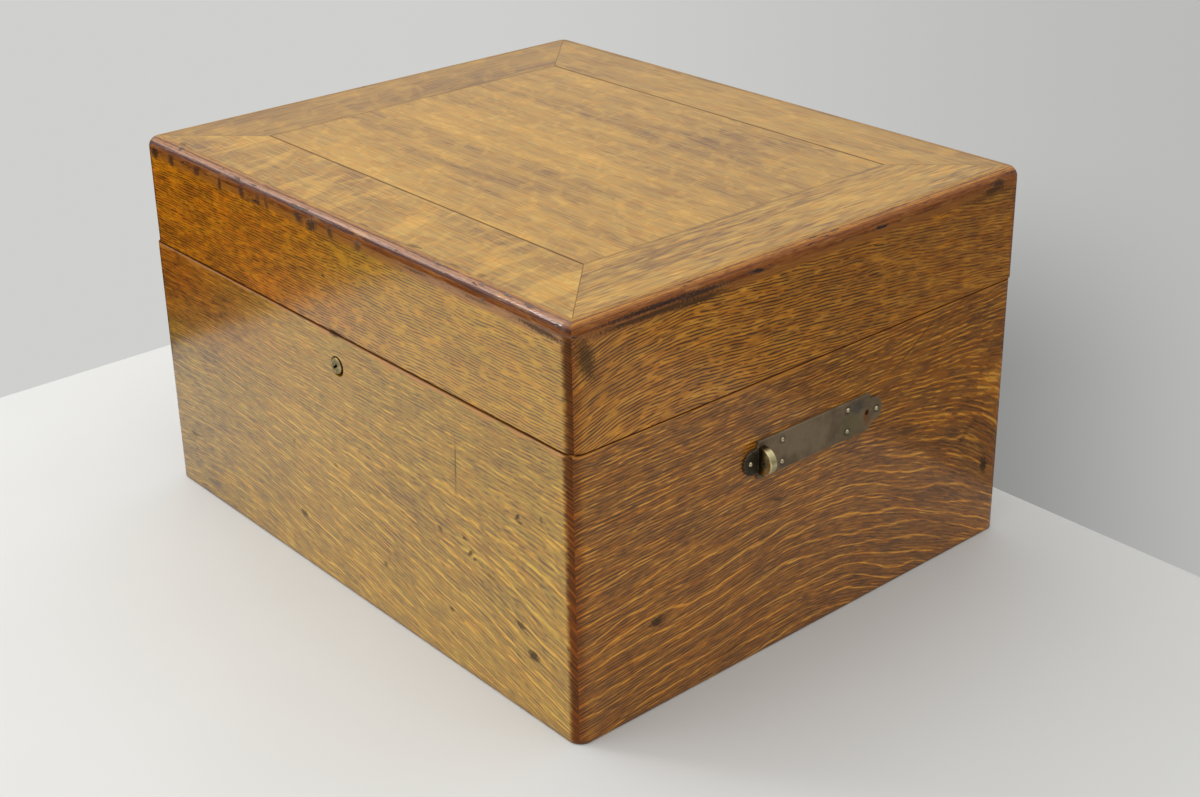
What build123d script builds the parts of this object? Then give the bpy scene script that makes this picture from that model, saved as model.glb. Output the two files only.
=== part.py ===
from build123d import *
import os
from math import cos, radians, sin

# A silverware chest of quarter-sawn oak: a mitred case with a hinged lid, a box lock at the front,
# a handle on each side and a lift-out tray over a deep lined well.
# X runs along the front to the right, Y to the back and Z up, in millimetres.
# The origin is the middle of the case's underside. The lid is shut, the lock open and the tray down.

# Outside of the chest
chest_width = 508.0
chest_depth = 422.0
chest_height = 292.0
case_height = 207.0
corner_radius = 10.0
seam_arris = 0.6
base_arris = 0.8

# Case
case_wall = 15.0
bottom_thickness = 9.0
bottom_rebate = 7.0
tongue_width = 9.0
tongue_thickness = 3.0
tongue_stop = 12.0

# Lid
lid_wall = 14.0
lid_setback = 1.5
lid_top_round = 8.0
lid_top_thickness = 12.0
edging_section = 9.0
border_width = 70.0
panel_tongue_width = 6.0
panel_tongue_thickness = 4.0
lid_lining_thickness = 6.0
lid_lining_gap = 1.0
lid_open_angle = 95.0

# Well and its lining
well_lining_thickness = 1.0
bearer_width = 12.0
bearer_height = 10.0
divider_thickness = 8.0
divider_height = 96.0
divider_gap = 0.2
long_divider_place = 30.0
cross_divider_place = -70.0

# Tray
tray_depth = 50.0
tray_top_gap = 3.0
tray_side_gap = 1.5
tray_wall = 8.0
tray_bottom_thickness = 4.0
tray_bottom_lift = 3.0
tray_groove = 4.0
tray_lining_thickness = 1.0
tray_divider_thickness = 6.0
tray_divider_drop = 8.0
tray_front_lane = 250.0
tray_cross_count = 3
rest_radius = 9.0
rest_gap = 0.3
tab_width = 24.0
tab_thickness = 1.6
tab_length = 44.0
tab_rise = 12.0

# Wood screws, with a slot across the head
screw_head_radius = 3.2
screw_head_height = 2.0
screw_shank_radius = 1.5
screw_length = 13.0
screw_slot_width = 0.8
screw_slot_depth = 0.9
screw_sink = 0.2
fit_gap = 0.05
bottom_front_screw_count = 5
bottom_end_screw_count = 4
bottom_screw_length = 22.0

# Hinges
hinge_place = 150.0
hinge_length = 60.0
hinge_leaf_width = 18.0
hinge_leaf_thickness = 1.8
hinge_knuckles = 5
hinge_knuckle_radius = 3.0
hinge_knuckle_gap = 0.3
hinge_pin_radius = 1.5
hinge_pin_head_radius = 2.3
hinge_pin_head_length = 0.8
hinge_lip_reach = 7.0
hinge_lip_thickness = 2.0
hinge_lip_play = 0.4
hinge_screw_edge = 6.0

# Lock
key_drop = 24.0
lock_plate_width = 64.0
lock_plate_height = 42.0
lock_plate_thickness = 1.6
selvedge_width = 10.2
selvedge_thickness = 2.0
lock_cap_width = 52.0
lock_cap_height = 38.0
lock_cap_wall = 1.0
lock_pocket_gap = 0.3
lock_middle = 5.4
lock_screw_place = 29.3
lock_screw_rise = 6.0
lock_screw_spread = 26.0
lock_screw_radius = 1.1
lock_screw_head_radius = 2.0
lock_screw_head_height = 1.2
lock_screw_length = 9.0

# Lock nozzle, plug and cam
nozzle_radius = 6.0
nozzle_bore_radius = 4.4
nozzle_proud = 0.3
nozzle_round = 0.6
nozzle_hole_radius = 7.6
nozzle_hole_shift = 1.3
plug_radius = 4.34
plug_back_gap = 2.2
keyway_round_radius = 1.4
keyway_slot_width = 1.7
keyway_slot_length = 4.2
keyway_angle = 217.0
keyway_depth = 8.0
cam_thickness = 1.2
cam_arm_width = 3.8
crank_radius = 6.5
crank_pin_radius = 1.2
lock_turn = 60.0

# Bolt, its guides, and the staples of the link plate
bolt_thickness = 2.6
bolt_play = 0.1
bolt_bar_low = 5.0
bolt_bar_height = 5.5
bolt_arm_width = 3.0
bolt_bar_right = 12.0
slot_gap = 0.3
prong_height = 4.0
guide_width = 4.0
guide_left = -14.0
guide_right = 10.0
staple_place = 12.0
staple_thickness = 3.0
staple_width = 6.0
staple_drop = 12.5
staple_window_height = 6.0
staple_window_width = 3.2
staple_gap = 0.5
prong_clear = 0.6
link_plate_width = 60.0
link_plate_depth = 9.0
link_plate_thickness = 2.0
link_screw_place = 24.0

# Handles: plate, pins, lugs and the bail at the left
handle_height = 151.0
handle_plate_length = 110.0
handle_plate_height = 28.0
handle_plate_thickness = 2.0
handle_plate_bevel = 0.6
handle_lobe_length = 135.4
handle_lobe_height = 18.0
handle_shoulder_round = 2.0
handle_pin_inset = 6.2
handle_pin_inner = 32.0
handle_pin_spread = 8.1
handle_pin_head_radius = 1.7
handle_pin_head_height = 1.2
handle_pin_radius = 0.9
handle_pin_length = 11.0
lug_inset = 3.5
lug_thickness = 6.0
lug_radius = 10.0
lug_projection = 13.6
lug_round = 0.8
lug_rivet_radius = 2.0
lug_rivet_length = 8.0
pivot_out = 7.4
pivot_drop = 1.0
pivot_radius = 2.0
bail_rod_radius = 2.75
bail_side_gap = 0.75
bail_drop = 38.0
bail_corner_radius = 9.0
bail_head_radius = 2.8
bail_head_length = 1.0
bail_head_gap = 0.2

# Places that follow from the sizes above
half_width = chest_width / 2
half_depth = chest_depth / 2
inner_half_width = half_width - case_wall
inner_half_depth = half_depth - case_wall
lid_ceiling = chest_height - lid_top_thickness
tray_top = case_height - tray_top_gap
tray_low = tray_top - tray_depth
bearer_low = tray_low - bearer_height
floor_top = bottom_thickness + well_lining_thickness
tray_half_width = inner_half_width - tray_side_gap
tray_half_depth = inner_half_depth - tray_side_gap - lid_setback
tray_inner_half_width = tray_half_width - tray_wall
tray_inner_half_depth = tray_half_depth - tray_wall
tray_floor = tray_low + tray_bottom_lift + tray_bottom_thickness + tray_lining_thickness
lane_split = -tray_inner_half_depth + tray_front_lane
hinge_y = half_depth + lid_setback + hinge_knuckle_radius + hinge_knuckle_gap
key_height = case_height - key_drop
works_y = -inner_half_depth - lock_middle
cap_face_y = -inner_half_depth - selvedge_width
plate_inner_y = -inner_half_depth - lock_plate_thickness
bolt_travel = 2 * crank_radius * sin(radians(lock_turn / 2))
pivot_height = handle_height - pivot_drop
handle_pin_tip = handle_lobe_length / 2 - handle_pin_inset
lug_place = handle_plate_length / 2 - lug_inset
arm_y = lug_place - lug_thickness / 2 - bail_side_gap - bail_rod_radius
sides = ("front", "back", "left", "right")
corners = [(-1, -1), (1, -1), (1, 1), (-1, 1)]
cut_margin = 1.0


# Shapes that are used again and again


def span(x_low, x_high, y_low, y_high, z_low, z_high):
    """A box given by its limits."""
    middle = ((x_low + x_high) / 2, (y_low + y_high) / 2, (z_low + z_high) / 2)
    return Pos(*middle) * Box(x_high - x_low, y_high - y_low, z_high - z_low)


def prism(points, low, high):
    """An upright prism over a plan outline."""
    return extrude(Pos(0, 0, low) * Polygon(*points, align=None), high - low, dir=(0, 0, 1))


def rod_along_y(x, z, radius, y_low, y_high):
    """A round bar along Y."""
    return Pos(x, (y_low + y_high) / 2, z) * Rot(90, 0, 0) * Cylinder(radius, y_high - y_low)


def rod_along_x(y, z, radius, x_low, x_high):
    """A round bar along X."""
    return Pos((x_low + x_high) / 2, y, z) * Rot(0, 90, 0) * Cylinder(radius, x_high - x_low)


def mitred(side, half_x, half_y, outer, inner, low, high, y_shift=0.0):
    """One mitred quarter of a plan ring, between two distances in from the outline."""
    far_x, far_y = half_x - outer, half_y - outer
    near_x, near_y = half_x - inner, half_y - inner
    sign = -1 if side in ("front", "left") else 1
    if side in ("front", "back"):
        points = [(-far_x, sign * far_y), (far_x, sign * far_y)]
        points += [(near_x, sign * near_y), (-near_x, sign * near_y)]
    else:
        points = [(sign * far_x, -far_y), (sign * far_x, far_y)]
        points += [(sign * near_x, near_y), (sign * near_x, -near_y)]
    return Pos(0, y_shift, 0) * prism(points, low, high)


def outer_block(low, high):
    """The chest's outer outline with its rounded upright corners."""
    block = span(-half_width, half_width, -half_depth, half_depth, low, high)
    return fillet(block.edges().filter_by(Axis.Z), corner_radius)


def corner_tongues(wall, low, high, y_shift=0.0):
    """Loose tongues across the four mitres of a frame of boards."""
    tongues = []
    for sign_x, sign_y in corners:
        x = sign_x * (half_width - wall / 2)
        y = sign_y * (half_depth - wall / 2) + y_shift
        turn = Rot(0, 0, -45 * sign_x * sign_y)
        bar = Box(tongue_width, tongue_thickness, high - low)
        tongues.append(Pos(x, y, (low + high) / 2) * turn * bar)
    return tongues


def cut(shape, tools):
    """A shape less each of the tools in turn."""
    for tool in tools:
        shape = shape - tool
    return shape


def screw(head_radius, head_height, shank_radius, length):
    """A countersunk wood screw, head up at the origin."""
    head = Pos(0, 0, -head_height / 2) * Cone(shank_radius, head_radius, head_height)
    shank = Pos(0, 0, -length / 2) * Cylinder(shank_radius, length)
    slot = Box(2 * head_radius + cut_margin, screw_slot_width, 2 * screw_slot_depth)
    return head + shank - slot


def screw_hole(head_radius, head_height, shank_radius, length):
    """The hole that a screw fills, a little wider than the screw all round."""
    head = Pos(0, 0, -head_height / 2) * Cone(shank_radius + fit_gap, head_radius + fit_gap, head_height)
    mouth = Pos(0, 0, screw_sink) * Cylinder(head_radius + fit_gap, 2 * screw_sink)
    shank = Pos(0, 0, -length / 2) * Cylinder(shank_radius + fit_gap, length + 2 * fit_gap)
    return head + mouth + shank


def spaced(count, pitch):
    """Evenly pitched places about zero."""
    return [(index - (count - 1) / 2) * pitch for index in range(count)]


def save(name, *shapes):
    """Write one node, with all its solids."""
    solids = [solid for shape in shapes for solid in shape.solids()]
    export_step(solids[0] if len(solids) == 1 else Compound(solids), f"parts/{name}.step")


# Fasteners and their places

wood_screw = screw(screw_head_radius, screw_head_height, screw_shank_radius, screw_length)
wood_screw_hole = screw_hole(screw_head_radius, screw_head_height, screw_shank_radius, screw_length)
bottom_screw = screw(screw_head_radius, screw_head_height, screw_shank_radius, bottom_screw_length)
bottom_hole = screw_hole(screw_head_radius, screw_head_height, screw_shank_radius, bottom_screw_length)
lock_screw = screw(lock_screw_head_radius, lock_screw_head_height, lock_screw_radius, lock_screw_length)
lock_hole = screw_hole(lock_screw_head_radius, lock_screw_head_height, lock_screw_radius, lock_screw_length)


def bottom_screw_places():
    """Round the rebate, heads down."""
    rebate_x = inner_half_width + bottom_rebate / 2
    rebate_y = inner_half_depth + bottom_rebate / 2
    pitch_x = 2 * inner_half_width / bottom_front_screw_count
    pitch_y = 2 * inner_half_depth / bottom_end_screw_count
    spots = [(x, sign * rebate_y) for x in spaced(bottom_front_screw_count, pitch_x) for sign in (-1, 1)]
    spots += [(sign * rebate_x, y) for y in spaced(bottom_end_screw_count, pitch_y) for sign in (-1, 1)]
    return [Pos(x, y, screw_sink) * Rot(180, 0, 0) for x, y in spots]


def hinge_screw_places(centre, lid):
    """Three screws through a hinge leaf, heads at the seam."""
    y = hinge_y - hinge_leaf_width + hinge_screw_edge
    spots = [centre + x for x in spaced(3, hinge_length / 3)]
    if lid:
        return [Pos(x, y, case_height + screw_sink) * Rot(180, 0, 0) for x in spots]
    return [Pos(x, y, case_height - screw_sink) for x in spots]


def lock_screw_places():
    """Four screws through the lock's plate into the front board."""
    low = case_height - lock_plate_height + lock_screw_rise
    spots = [(sign * lock_screw_place, low + rise) for sign in (-1, 1) for rise in (0, lock_screw_spread)]
    return [Pos(x, -inner_half_depth - screw_sink, z) * Rot(-90, 0, 0) for x, z in spots]


def link_screw_places():
    """Two screws through the link plate up into the lid's front rail."""
    spots = (-link_screw_place, link_screw_place)
    return [Pos(x, works_y, case_height + screw_sink) * Rot(180, 0, 0) for x in spots]


def placed(places, shape):
    """Copies of a shape at a list of places."""
    return [place * shape for place in places]


hinge_centres = (-hinge_place, hinge_place)
case_hinge_places = [place for centre in hinge_centres for place in hinge_screw_places(centre, False)]
lid_hinge_places = [place for centre in hinge_centres for place in hinge_screw_places(centre, True)]


# Handles, built for the right side and mirrored for the left


def handle_pin():
    """A round-head pin pointing to the right."""
    ball = (handle_pin_head_radius**2 + handle_pin_head_height**2) / (2 * handle_pin_head_height)
    width = handle_pin_head_radius + cut_margin
    dome = Pos(0, 0, handle_pin_head_height - ball) * Sphere(ball)
    head = dome & span(-width, width, -width, width, 0, handle_pin_head_height + cut_margin)
    shank = Pos(0, 0, -handle_pin_length / 2) * Cylinder(handle_pin_radius, handle_pin_length)
    return Rot(0, 90, 0) * (head + shank)


def handle_pin_places():
    """One pin at each tip and a pair inside each lug."""
    spread = handle_pin_spread
    spots = [(sign * handle_pin_tip, 0.0) for sign in (-1, 1)]
    spots += [(sign * handle_pin_inner, rise) for sign in (-1, 1) for rise in (-spread, spread)]
    return [Pos(half_width + handle_plate_thickness, y, handle_height + z) for y, z in spots]


def handle_holes():
    """Holes of the pins and of both lug rivets, in plate and board alike."""
    depth = handle_pin_length + handle_plate_thickness
    holes = []
    for place in handle_pin_places():
        bore = Rot(0, 90, 0) * Cylinder(handle_pin_radius + fit_gap, 2 * depth)
        holes.append(place * (bore & span(-handle_pin_length - fit_gap, depth, -depth, depth, -depth, depth)))
    rivet_tip = half_width + handle_plate_thickness - lug_rivet_length - fit_gap
    rivet_end = half_width + handle_plate_thickness + cut_margin
    for sign in (-1, 1):
        radius = lug_rivet_radius + fit_gap
        holes.append(rod_along_x(sign * lug_place, handle_height, radius, rivet_tip, rivet_end))
    return holes


def handle_plate():
    """A flat plate with a narrower rounded lobe at each end."""
    body = Rectangle(handle_plate_length, handle_plate_height)
    outline = body + SlotOverall(handle_lobe_length, handle_lobe_height)
    shoulders = outline.vertices().filter_by(lambda v: abs(abs(v.X) - handle_plate_length / 2) < fit_gap)
    outline = fillet(shoulders, handle_shoulder_round)
    plate = extrude(outline, handle_plate_thickness)
    plate = chamfer(plate.faces().sort_by(Axis.Z)[-1].edges(), handle_plate_bevel)
    stand = Location(Plane(origin=(half_width, 0, handle_height), x_dir=(0, 1, 0), z_dir=(1, 0, 0)))
    return cut(stand * plate, handle_holes())


def handle_lug(sign):
    """A D-shaped ear with a pivot bore and a rivet through the plate."""
    base = half_width + handle_plate_thickness
    centre = half_width + lug_projection - lug_radius
    low, high = lug_place - lug_thickness / 2, lug_place + lug_thickness / 2
    foot = span(base, centre, low, high, handle_height - lug_radius, handle_height + lug_radius)
    ear = rod_along_y(centre, handle_height, lug_radius, low, high) + foot
    ear = ear & span(base, half_width + 2 * lug_projection, low, high, 0, chest_height)
    rim = ear.edges().filter_by(GeomType.CIRCLE)
    ear = fillet(rim, lug_round)
    rivet_tip = base - lug_rivet_length
    ear = ear + rod_along_x(lug_place, handle_height, lug_rivet_radius, rivet_tip, base + cut_margin)
    bore = rod_along_y(half_width + pivot_out, pivot_height, pivot_radius + fit_gap, 0, half_depth)
    ear = ear - bore
    return ear if sign > 0 else ear.mirror(Plane.XZ)


def handle_bail():
    """A U of round rod with turned-down pivots that run in the lugs."""
    x = half_width + pivot_out
    low = pivot_height - bail_drop
    frame = Location(Plane(origin=(x, 0, 0), x_dir=(0, 1, 0), z_dir=(1, 0, 0)))
    points = [(-arm_y, pivot_height), (-arm_y, low), (arm_y, low), (arm_y, pivot_height)]
    path = frame * FilletPolyline(*points, radius=bail_corner_radius)
    section = Pos(x, -arm_y, pivot_height) * Circle(bail_rod_radius)
    bail = sweep(section, path=path)
    head_y = lug_place + lug_thickness / 2 + bail_head_gap
    for sign in (-1, 1):
        bail = bail + Pos(x, sign * arm_y, pivot_height) * Sphere(bail_rod_radius)
        stub = rod_along_y(x, pivot_height, pivot_radius, arm_y, head_y + bail_head_length)
        head = rod_along_y(x, pivot_height, bail_head_radius, head_y, head_y + bail_head_length)
        end = stub + head
        bail = bail + (end if sign > 0 else end.mirror(Plane.XZ))
    return bail


# Case boards, with the pockets of what they hold


def lock_pockets():
    """Room for the lock in the front board, and the hole for its nozzle."""
    plate = span(
        -lock_plate_width / 2,
        lock_plate_width / 2,
        plate_inner_y,
        -inner_half_depth + cut_margin,
        case_height - lock_plate_height,
        case_height + cut_margin,
    )
    selvedge = span(
        -lock_plate_width / 2,
        lock_plate_width / 2,
        cap_face_y,
        -inner_half_depth + cut_margin,
        case_height - selvedge_thickness,
        case_height + cut_margin,
    )
    works = span(
        -lock_cap_width / 2 - lock_pocket_gap,
        lock_cap_width / 2 + lock_pocket_gap,
        cap_face_y - lock_pocket_gap,
        -inner_half_depth + cut_margin,
        case_height - lock_cap_height - lock_pocket_gap,
        case_height - selvedge_thickness,
    )
    hole = rod_along_y(nozzle_hole_shift, key_height, nozzle_hole_radius, -half_depth - cut_margin, works_y)
    return [plate, selvedge, works, hole] + placed(lock_screw_places(), lock_hole)


def hinge_pocket(centre, low, high):
    """Housing of one hinge leaf in a rim."""
    inner = hinge_y - hinge_leaf_width
    ends = (centre - hinge_length / 2, centre + hinge_length / 2)
    return span(*ends, inner, hinge_y, low, high)


def case_boards():
    """Four mitred boards of the case."""
    block = outer_block(0, case_height)
    block = chamfer(block.faces().sort_by(Axis.Z)[-1].edges(), seam_arris)
    block = chamfer(block.faces().sort_by(Axis.Z)[0].edges(), base_arris)
    rebate_x, rebate_y = inner_half_width + bottom_rebate, inner_half_depth + bottom_rebate
    rebate = span(-rebate_x, rebate_x, -rebate_y, rebate_y, -cut_margin, bottom_thickness)
    tongues = case_tongues()
    bottom_holes = placed(bottom_screw_places(), bottom_hole)
    right_holes = handle_holes()
    left_holes = [hole.mirror(Plane.YZ) for hole in right_holes]
    leaf_low = case_height - hinge_leaf_thickness
    pockets = [hinge_pocket(centre, leaf_low, case_height + cut_margin) for centre in hinge_centres]
    extra = {
        "front": lock_pockets(),
        "back": pockets + placed(case_hinge_places, wood_screw_hole),
        "left": left_holes,
        "right": right_holes,
    }
    for side in sides:
        sector = mitred(side, half_width, half_depth, 0, case_wall, 0, case_height)
        board = cut((block & sector) - rebate, tongues + bottom_holes + extra[side])
        save(f"case_{side}_board", board)


def case_tongues():
    """The case's loose tongues, stopped short of rim and bottom."""
    return corner_tongues(case_wall, bottom_thickness + tongue_stop, case_height - tongue_stop)


def bottom():
    """Bottom panel in the rebate, with its screws."""
    x, y = inner_half_width + bottom_rebate, inner_half_depth + bottom_rebate
    panel = span(-x, x, -y, y, 0, bottom_thickness)
    places = bottom_screw_places()
    save("bottom_panel", cut(panel, placed(places, bottom_hole)))
    save("bottom_screws", *placed(places, bottom_screw))


# Inside of the well


def bearers():
    """Ledges at both ends that carry the tray."""
    for side, sign in (("left", -1), ("right", 1)):
        x_limits = sorted((sign * inner_half_width, sign * (inner_half_width - bearer_width)))
        save(
            f"tray_bearer_{side}",
            span(*x_limits, -inner_half_depth, inner_half_depth, bearer_low, tray_low),
        )


def well_lining():
    """Cloth glued to the well's floor and walls, up to the bearers."""
    x, y = inner_half_width, inner_half_depth
    cloth = well_lining_thickness
    outside = span(-x, x, -y, y, bottom_thickness, bearer_low)
    inside = span(-x + cloth, x - cloth, -y + cloth, y - cloth, floor_top, bearer_low + cut_margin)
    save("well_lining", outside - inside)


def well_dividers():
    """Two boards that cross in a half lap and stand on the lining."""
    x = inner_half_width - well_lining_thickness - divider_gap
    y = inner_half_depth - well_lining_thickness - divider_gap
    half = divider_thickness / 2
    low, middle, high = floor_top, floor_top + divider_height / 2, floor_top + divider_height
    along = span(-x, x, long_divider_place - half, long_divider_place + half, low, high)
    across = span(cross_divider_place - half, cross_divider_place + half, -y, y, low, high)
    lap = half + divider_gap
    lap_x = (cross_divider_place - lap, cross_divider_place + lap)
    lap_y = (long_divider_place - lap, long_divider_place + lap)
    save("well_divider_long", along - span(*lap_x, *lap_y, middle, high + cut_margin))
    save("well_divider_cross", across - span(*lap_x, *lap_y, low - cut_margin, middle))


# Lock


def lock_fixed():
    """Plate with selvedge and bolt guides, cap, nozzle and screws."""
    half = lock_plate_width / 2
    low = case_height - lock_plate_height
    plate = span(-half, half, plate_inner_y, -inner_half_depth, low, case_height)
    selvedge_low = case_height - selvedge_thickness
    plate = plate + span(-half, half, cap_face_y, -inner_half_depth, selvedge_low, case_height)
    slot_half_x = staple_thickness / 2 + staple_gap
    slot_half_y = staple_width / 2 + staple_gap
    for x in (-staple_place, staple_place):
        plate = plate - span(
            x - slot_half_x,
            x + slot_half_x,
            works_y - slot_half_y,
            works_y + slot_half_y,
            selvedge_low - cut_margin,
            case_height + cut_margin,
        )
    bar_low = key_height + bolt_bar_low
    bolt_front = works_y - bolt_thickness / 2
    bolt_back = works_y + bolt_thickness / 2
    for x in (guide_left, guide_right):
        ends = (x - guide_width / 2, x + guide_width / 2)
        back_low, back_high = bar_low - 2 * bolt_play, bar_low + bolt_bar_height
        back = span(*ends, bolt_back + bolt_play, plate_inner_y, back_low, back_high)
        ledge_low = bar_low - bolt_play - lock_plate_thickness
        plate = plate + back + span(*ends, bolt_front, plate_inner_y, ledge_low, bar_low - bolt_play)
    save("lock_plate", cut(plate, placed(lock_screw_places(), lock_hole)))

    cap_half = lock_cap_width / 2
    cap_low = case_height - lock_cap_height
    cap = span(-cap_half, cap_half, cap_face_y, plate_inner_y, cap_low, selvedge_low)
    room = span(
        -cap_half + lock_cap_wall,
        cap_half - lock_cap_wall,
        cap_face_y + lock_cap_wall,
        plate_inner_y + cut_margin,
        cap_low + lock_cap_wall,
        selvedge_low + cut_margin,
    )
    cap_bore = rod_along_y(0, key_height, nozzle_radius, cap_face_y - cut_margin, works_y)
    save("lock_cap", cap - room - cap_bore)

    front = -half_depth - nozzle_proud
    nozzle = rod_along_y(0, key_height, nozzle_radius, front, cap_face_y + lock_cap_wall)
    nozzle = fillet(nozzle.edges().sort_by(Axis.Y)[0], nozzle_round)
    bore = rod_along_y(0, key_height, nozzle_bore_radius, front - cut_margin, works_y)
    save("lock_nozzle", nozzle - bore)
    save("lock_screws", *placed(lock_screw_places(), lock_screw))


def lock_moving():
    """Plug with its keyway, cam on the plug's back, and the bolt."""
    plug_back = plate_inner_y - plug_back_gap
    plug = rod_along_y(0, key_height, plug_radius, -half_depth, plug_back)
    keyway_end = -half_depth + keyway_depth
    keyway = rod_along_y(0, 0, keyway_round_radius, -half_depth - cut_margin, keyway_end)
    half_slot = keyway_slot_width / 2
    keyway = keyway + span(0, keyway_slot_length, -half_depth - cut_margin, keyway_end, -half_slot, half_slot)
    turned = Pos(0, 0, key_height) * Rot(0, -keyway_angle, 0) * keyway
    save("lock_plug", plug - turned)

    cam_back = plug_back + cam_thickness
    cam = rod_along_y(0, 0, plug_radius, plug_back, cam_back)
    half_arm = cam_arm_width / 2
    cam = cam + span(-half_arm, half_arm, plug_back, cam_back, 0, crank_radius)
    cam = cam + rod_along_y(0, crank_radius, half_arm, plug_back, cam_back)
    pin_front = works_y - bolt_thickness / 2 - bolt_play
    cam = cam + rod_along_y(0, crank_radius, crank_pin_radius, pin_front, cam_back)
    save("lock_cam", Pos(0, 0, key_height) * Rot(0, -lock_turn / 2, 0) * cam)

    front, back = works_y - bolt_thickness / 2, works_y + bolt_thickness / 2
    bar_low = key_height + bolt_bar_low
    bar_high = bar_low + bolt_bar_height
    arm_reach = staple_thickness / 2 + bolt_travel + staple_gap
    prong_middle = case_height - staple_drop / 2
    prong_high = prong_middle + prong_height / 2
    left = -staple_place - arm_reach - bolt_arm_width
    bolt = span(left, bolt_bar_right, front, back, bar_low, bar_high)
    for x in (-staple_place, staple_place):
        arm_right = x - arm_reach
        tip = x - staple_thickness / 2 - prong_clear
        bolt = bolt + span(arm_right - bolt_arm_width, arm_right, front, back, bar_low, prong_high)
        bolt = bolt + span(arm_right, tip, front, back, prong_high - prong_height, prong_high)
    crank_x = -crank_radius * sin(radians(lock_turn / 2))
    half_notch = crank_pin_radius + slot_gap
    notch_top = key_height + crank_radius + half_notch
    notch = span(crank_x - half_notch, crank_x + half_notch, front, back, bar_low - cut_margin, notch_top)
    save("lock_bolt", bolt - notch)


def link_plate():
    """The lid's plate with two staples that drop into the lock."""
    half_x, half_y = link_plate_width / 2, link_plate_depth / 2
    top = case_height + link_plate_thickness
    plate = span(-half_x, half_x, works_y - half_y, works_y + half_y, case_height, top)
    staple_low = case_height - staple_drop
    window_middle = case_height - staple_drop / 2
    half_staple = staple_width / 2
    for x in (-staple_place, staple_place):
        ends = (x - staple_thickness / 2, x + staple_thickness / 2)
        loop = span(*ends, works_y - half_staple, works_y + half_staple, staple_low, case_height)
        window = span(
            x - staple_thickness,
            x + staple_thickness,
            works_y - staple_window_width / 2,
            works_y + staple_window_width / 2,
            window_middle - staple_window_height / 2,
            window_middle + staple_window_height / 2,
        )
        plate = plate + (loop - window)
    save("lock_link_plate", cut(plate, placed(link_screw_places(), wood_screw_hole)))


# Hinges


def radial(angle, out, aside):
    """A point beside the hinge pin, in Y and Z."""
    y = hinge_y + out * cos(radians(angle)) - aside * sin(radians(angle))
    z = case_height + out * sin(radians(angle)) + aside * cos(radians(angle))
    return (y, z)


def hinge_leaf(centre, lid):
    """One leaf with its knuckles and the stop lip behind them."""
    left = centre - hinge_length / 2
    pitch = hinge_length / hinge_knuckles
    low = case_height if lid else case_height - hinge_leaf_thickness
    leaf = hinge_pocket(centre, low, low + hinge_leaf_thickness)
    angle = (lid_open_angle + hinge_lip_play) / 2
    angle, aside = (angle, hinge_lip_thickness) if lid else (-angle, -hinge_lip_thickness)
    root = hinge_knuckle_radius / 2
    lip = [radial(angle, root, 0), radial(angle, hinge_lip_reach, 0)]
    lip += [radial(angle, hinge_lip_reach, aside), radial(angle, root, aside)]
    stand = Location(Plane(origin=(left, 0, 0), x_dir=(0, 1, 0), z_dir=(1, 0, 0)))
    leaf = leaf + extrude(stand * Polygon(*lip, align=None), hinge_length, dir=(1, 0, 0))
    own = [index for index in range(hinge_knuckles) if (index % 2 == 1) == lid]
    for index in range(hinge_knuckles):
        start, end = left + index * pitch, left + (index + 1) * pitch
        if index in own:
            leaf = leaf + rod_along_x(hinge_y, case_height, hinge_knuckle_radius, start, end)
        else:
            free = hinge_knuckle_radius + hinge_knuckle_gap
            start = start - (hinge_knuckle_gap if index else cut_margin)
            end = end + (hinge_knuckle_gap if index < hinge_knuckles - 1 else cut_margin)
            leaf = leaf - rod_along_x(hinge_y, case_height, free, start, end)
    reach = left - cut_margin, left + hinge_length + cut_margin
    leaf = leaf - rod_along_x(hinge_y, case_height, hinge_pin_radius + fit_gap, *reach)
    return cut(leaf, placed(hinge_screw_places(centre, lid), wood_screw_hole))


def hinge_pin(centre):
    """A pin with a flat head at each end."""
    half = hinge_length / 2
    pin = rod_along_x(hinge_y, case_height, hinge_pin_radius, centre - half, centre + half)
    for end in (centre - half - hinge_pin_head_length, centre + half):
        head_end = end + hinge_pin_head_length
        pin = pin + rod_along_x(hinge_y, case_height, hinge_pin_head_radius, end, head_end)
    return pin


def hinges():
    """Both hinges with their pins and screws."""
    for side, centre in zip(("left", "right"), hinge_centres):
        save(f"{side}_hinge_case_leaf", hinge_leaf(centre, False))
        save(f"{side}_hinge_lid_leaf", hinge_leaf(centre, True))
    save("hinge_pins", *[hinge_pin(centre) for centre in hinge_centres])
    save("hinge_case_screws", *placed(case_hinge_places, wood_screw))


# Lid


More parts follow.
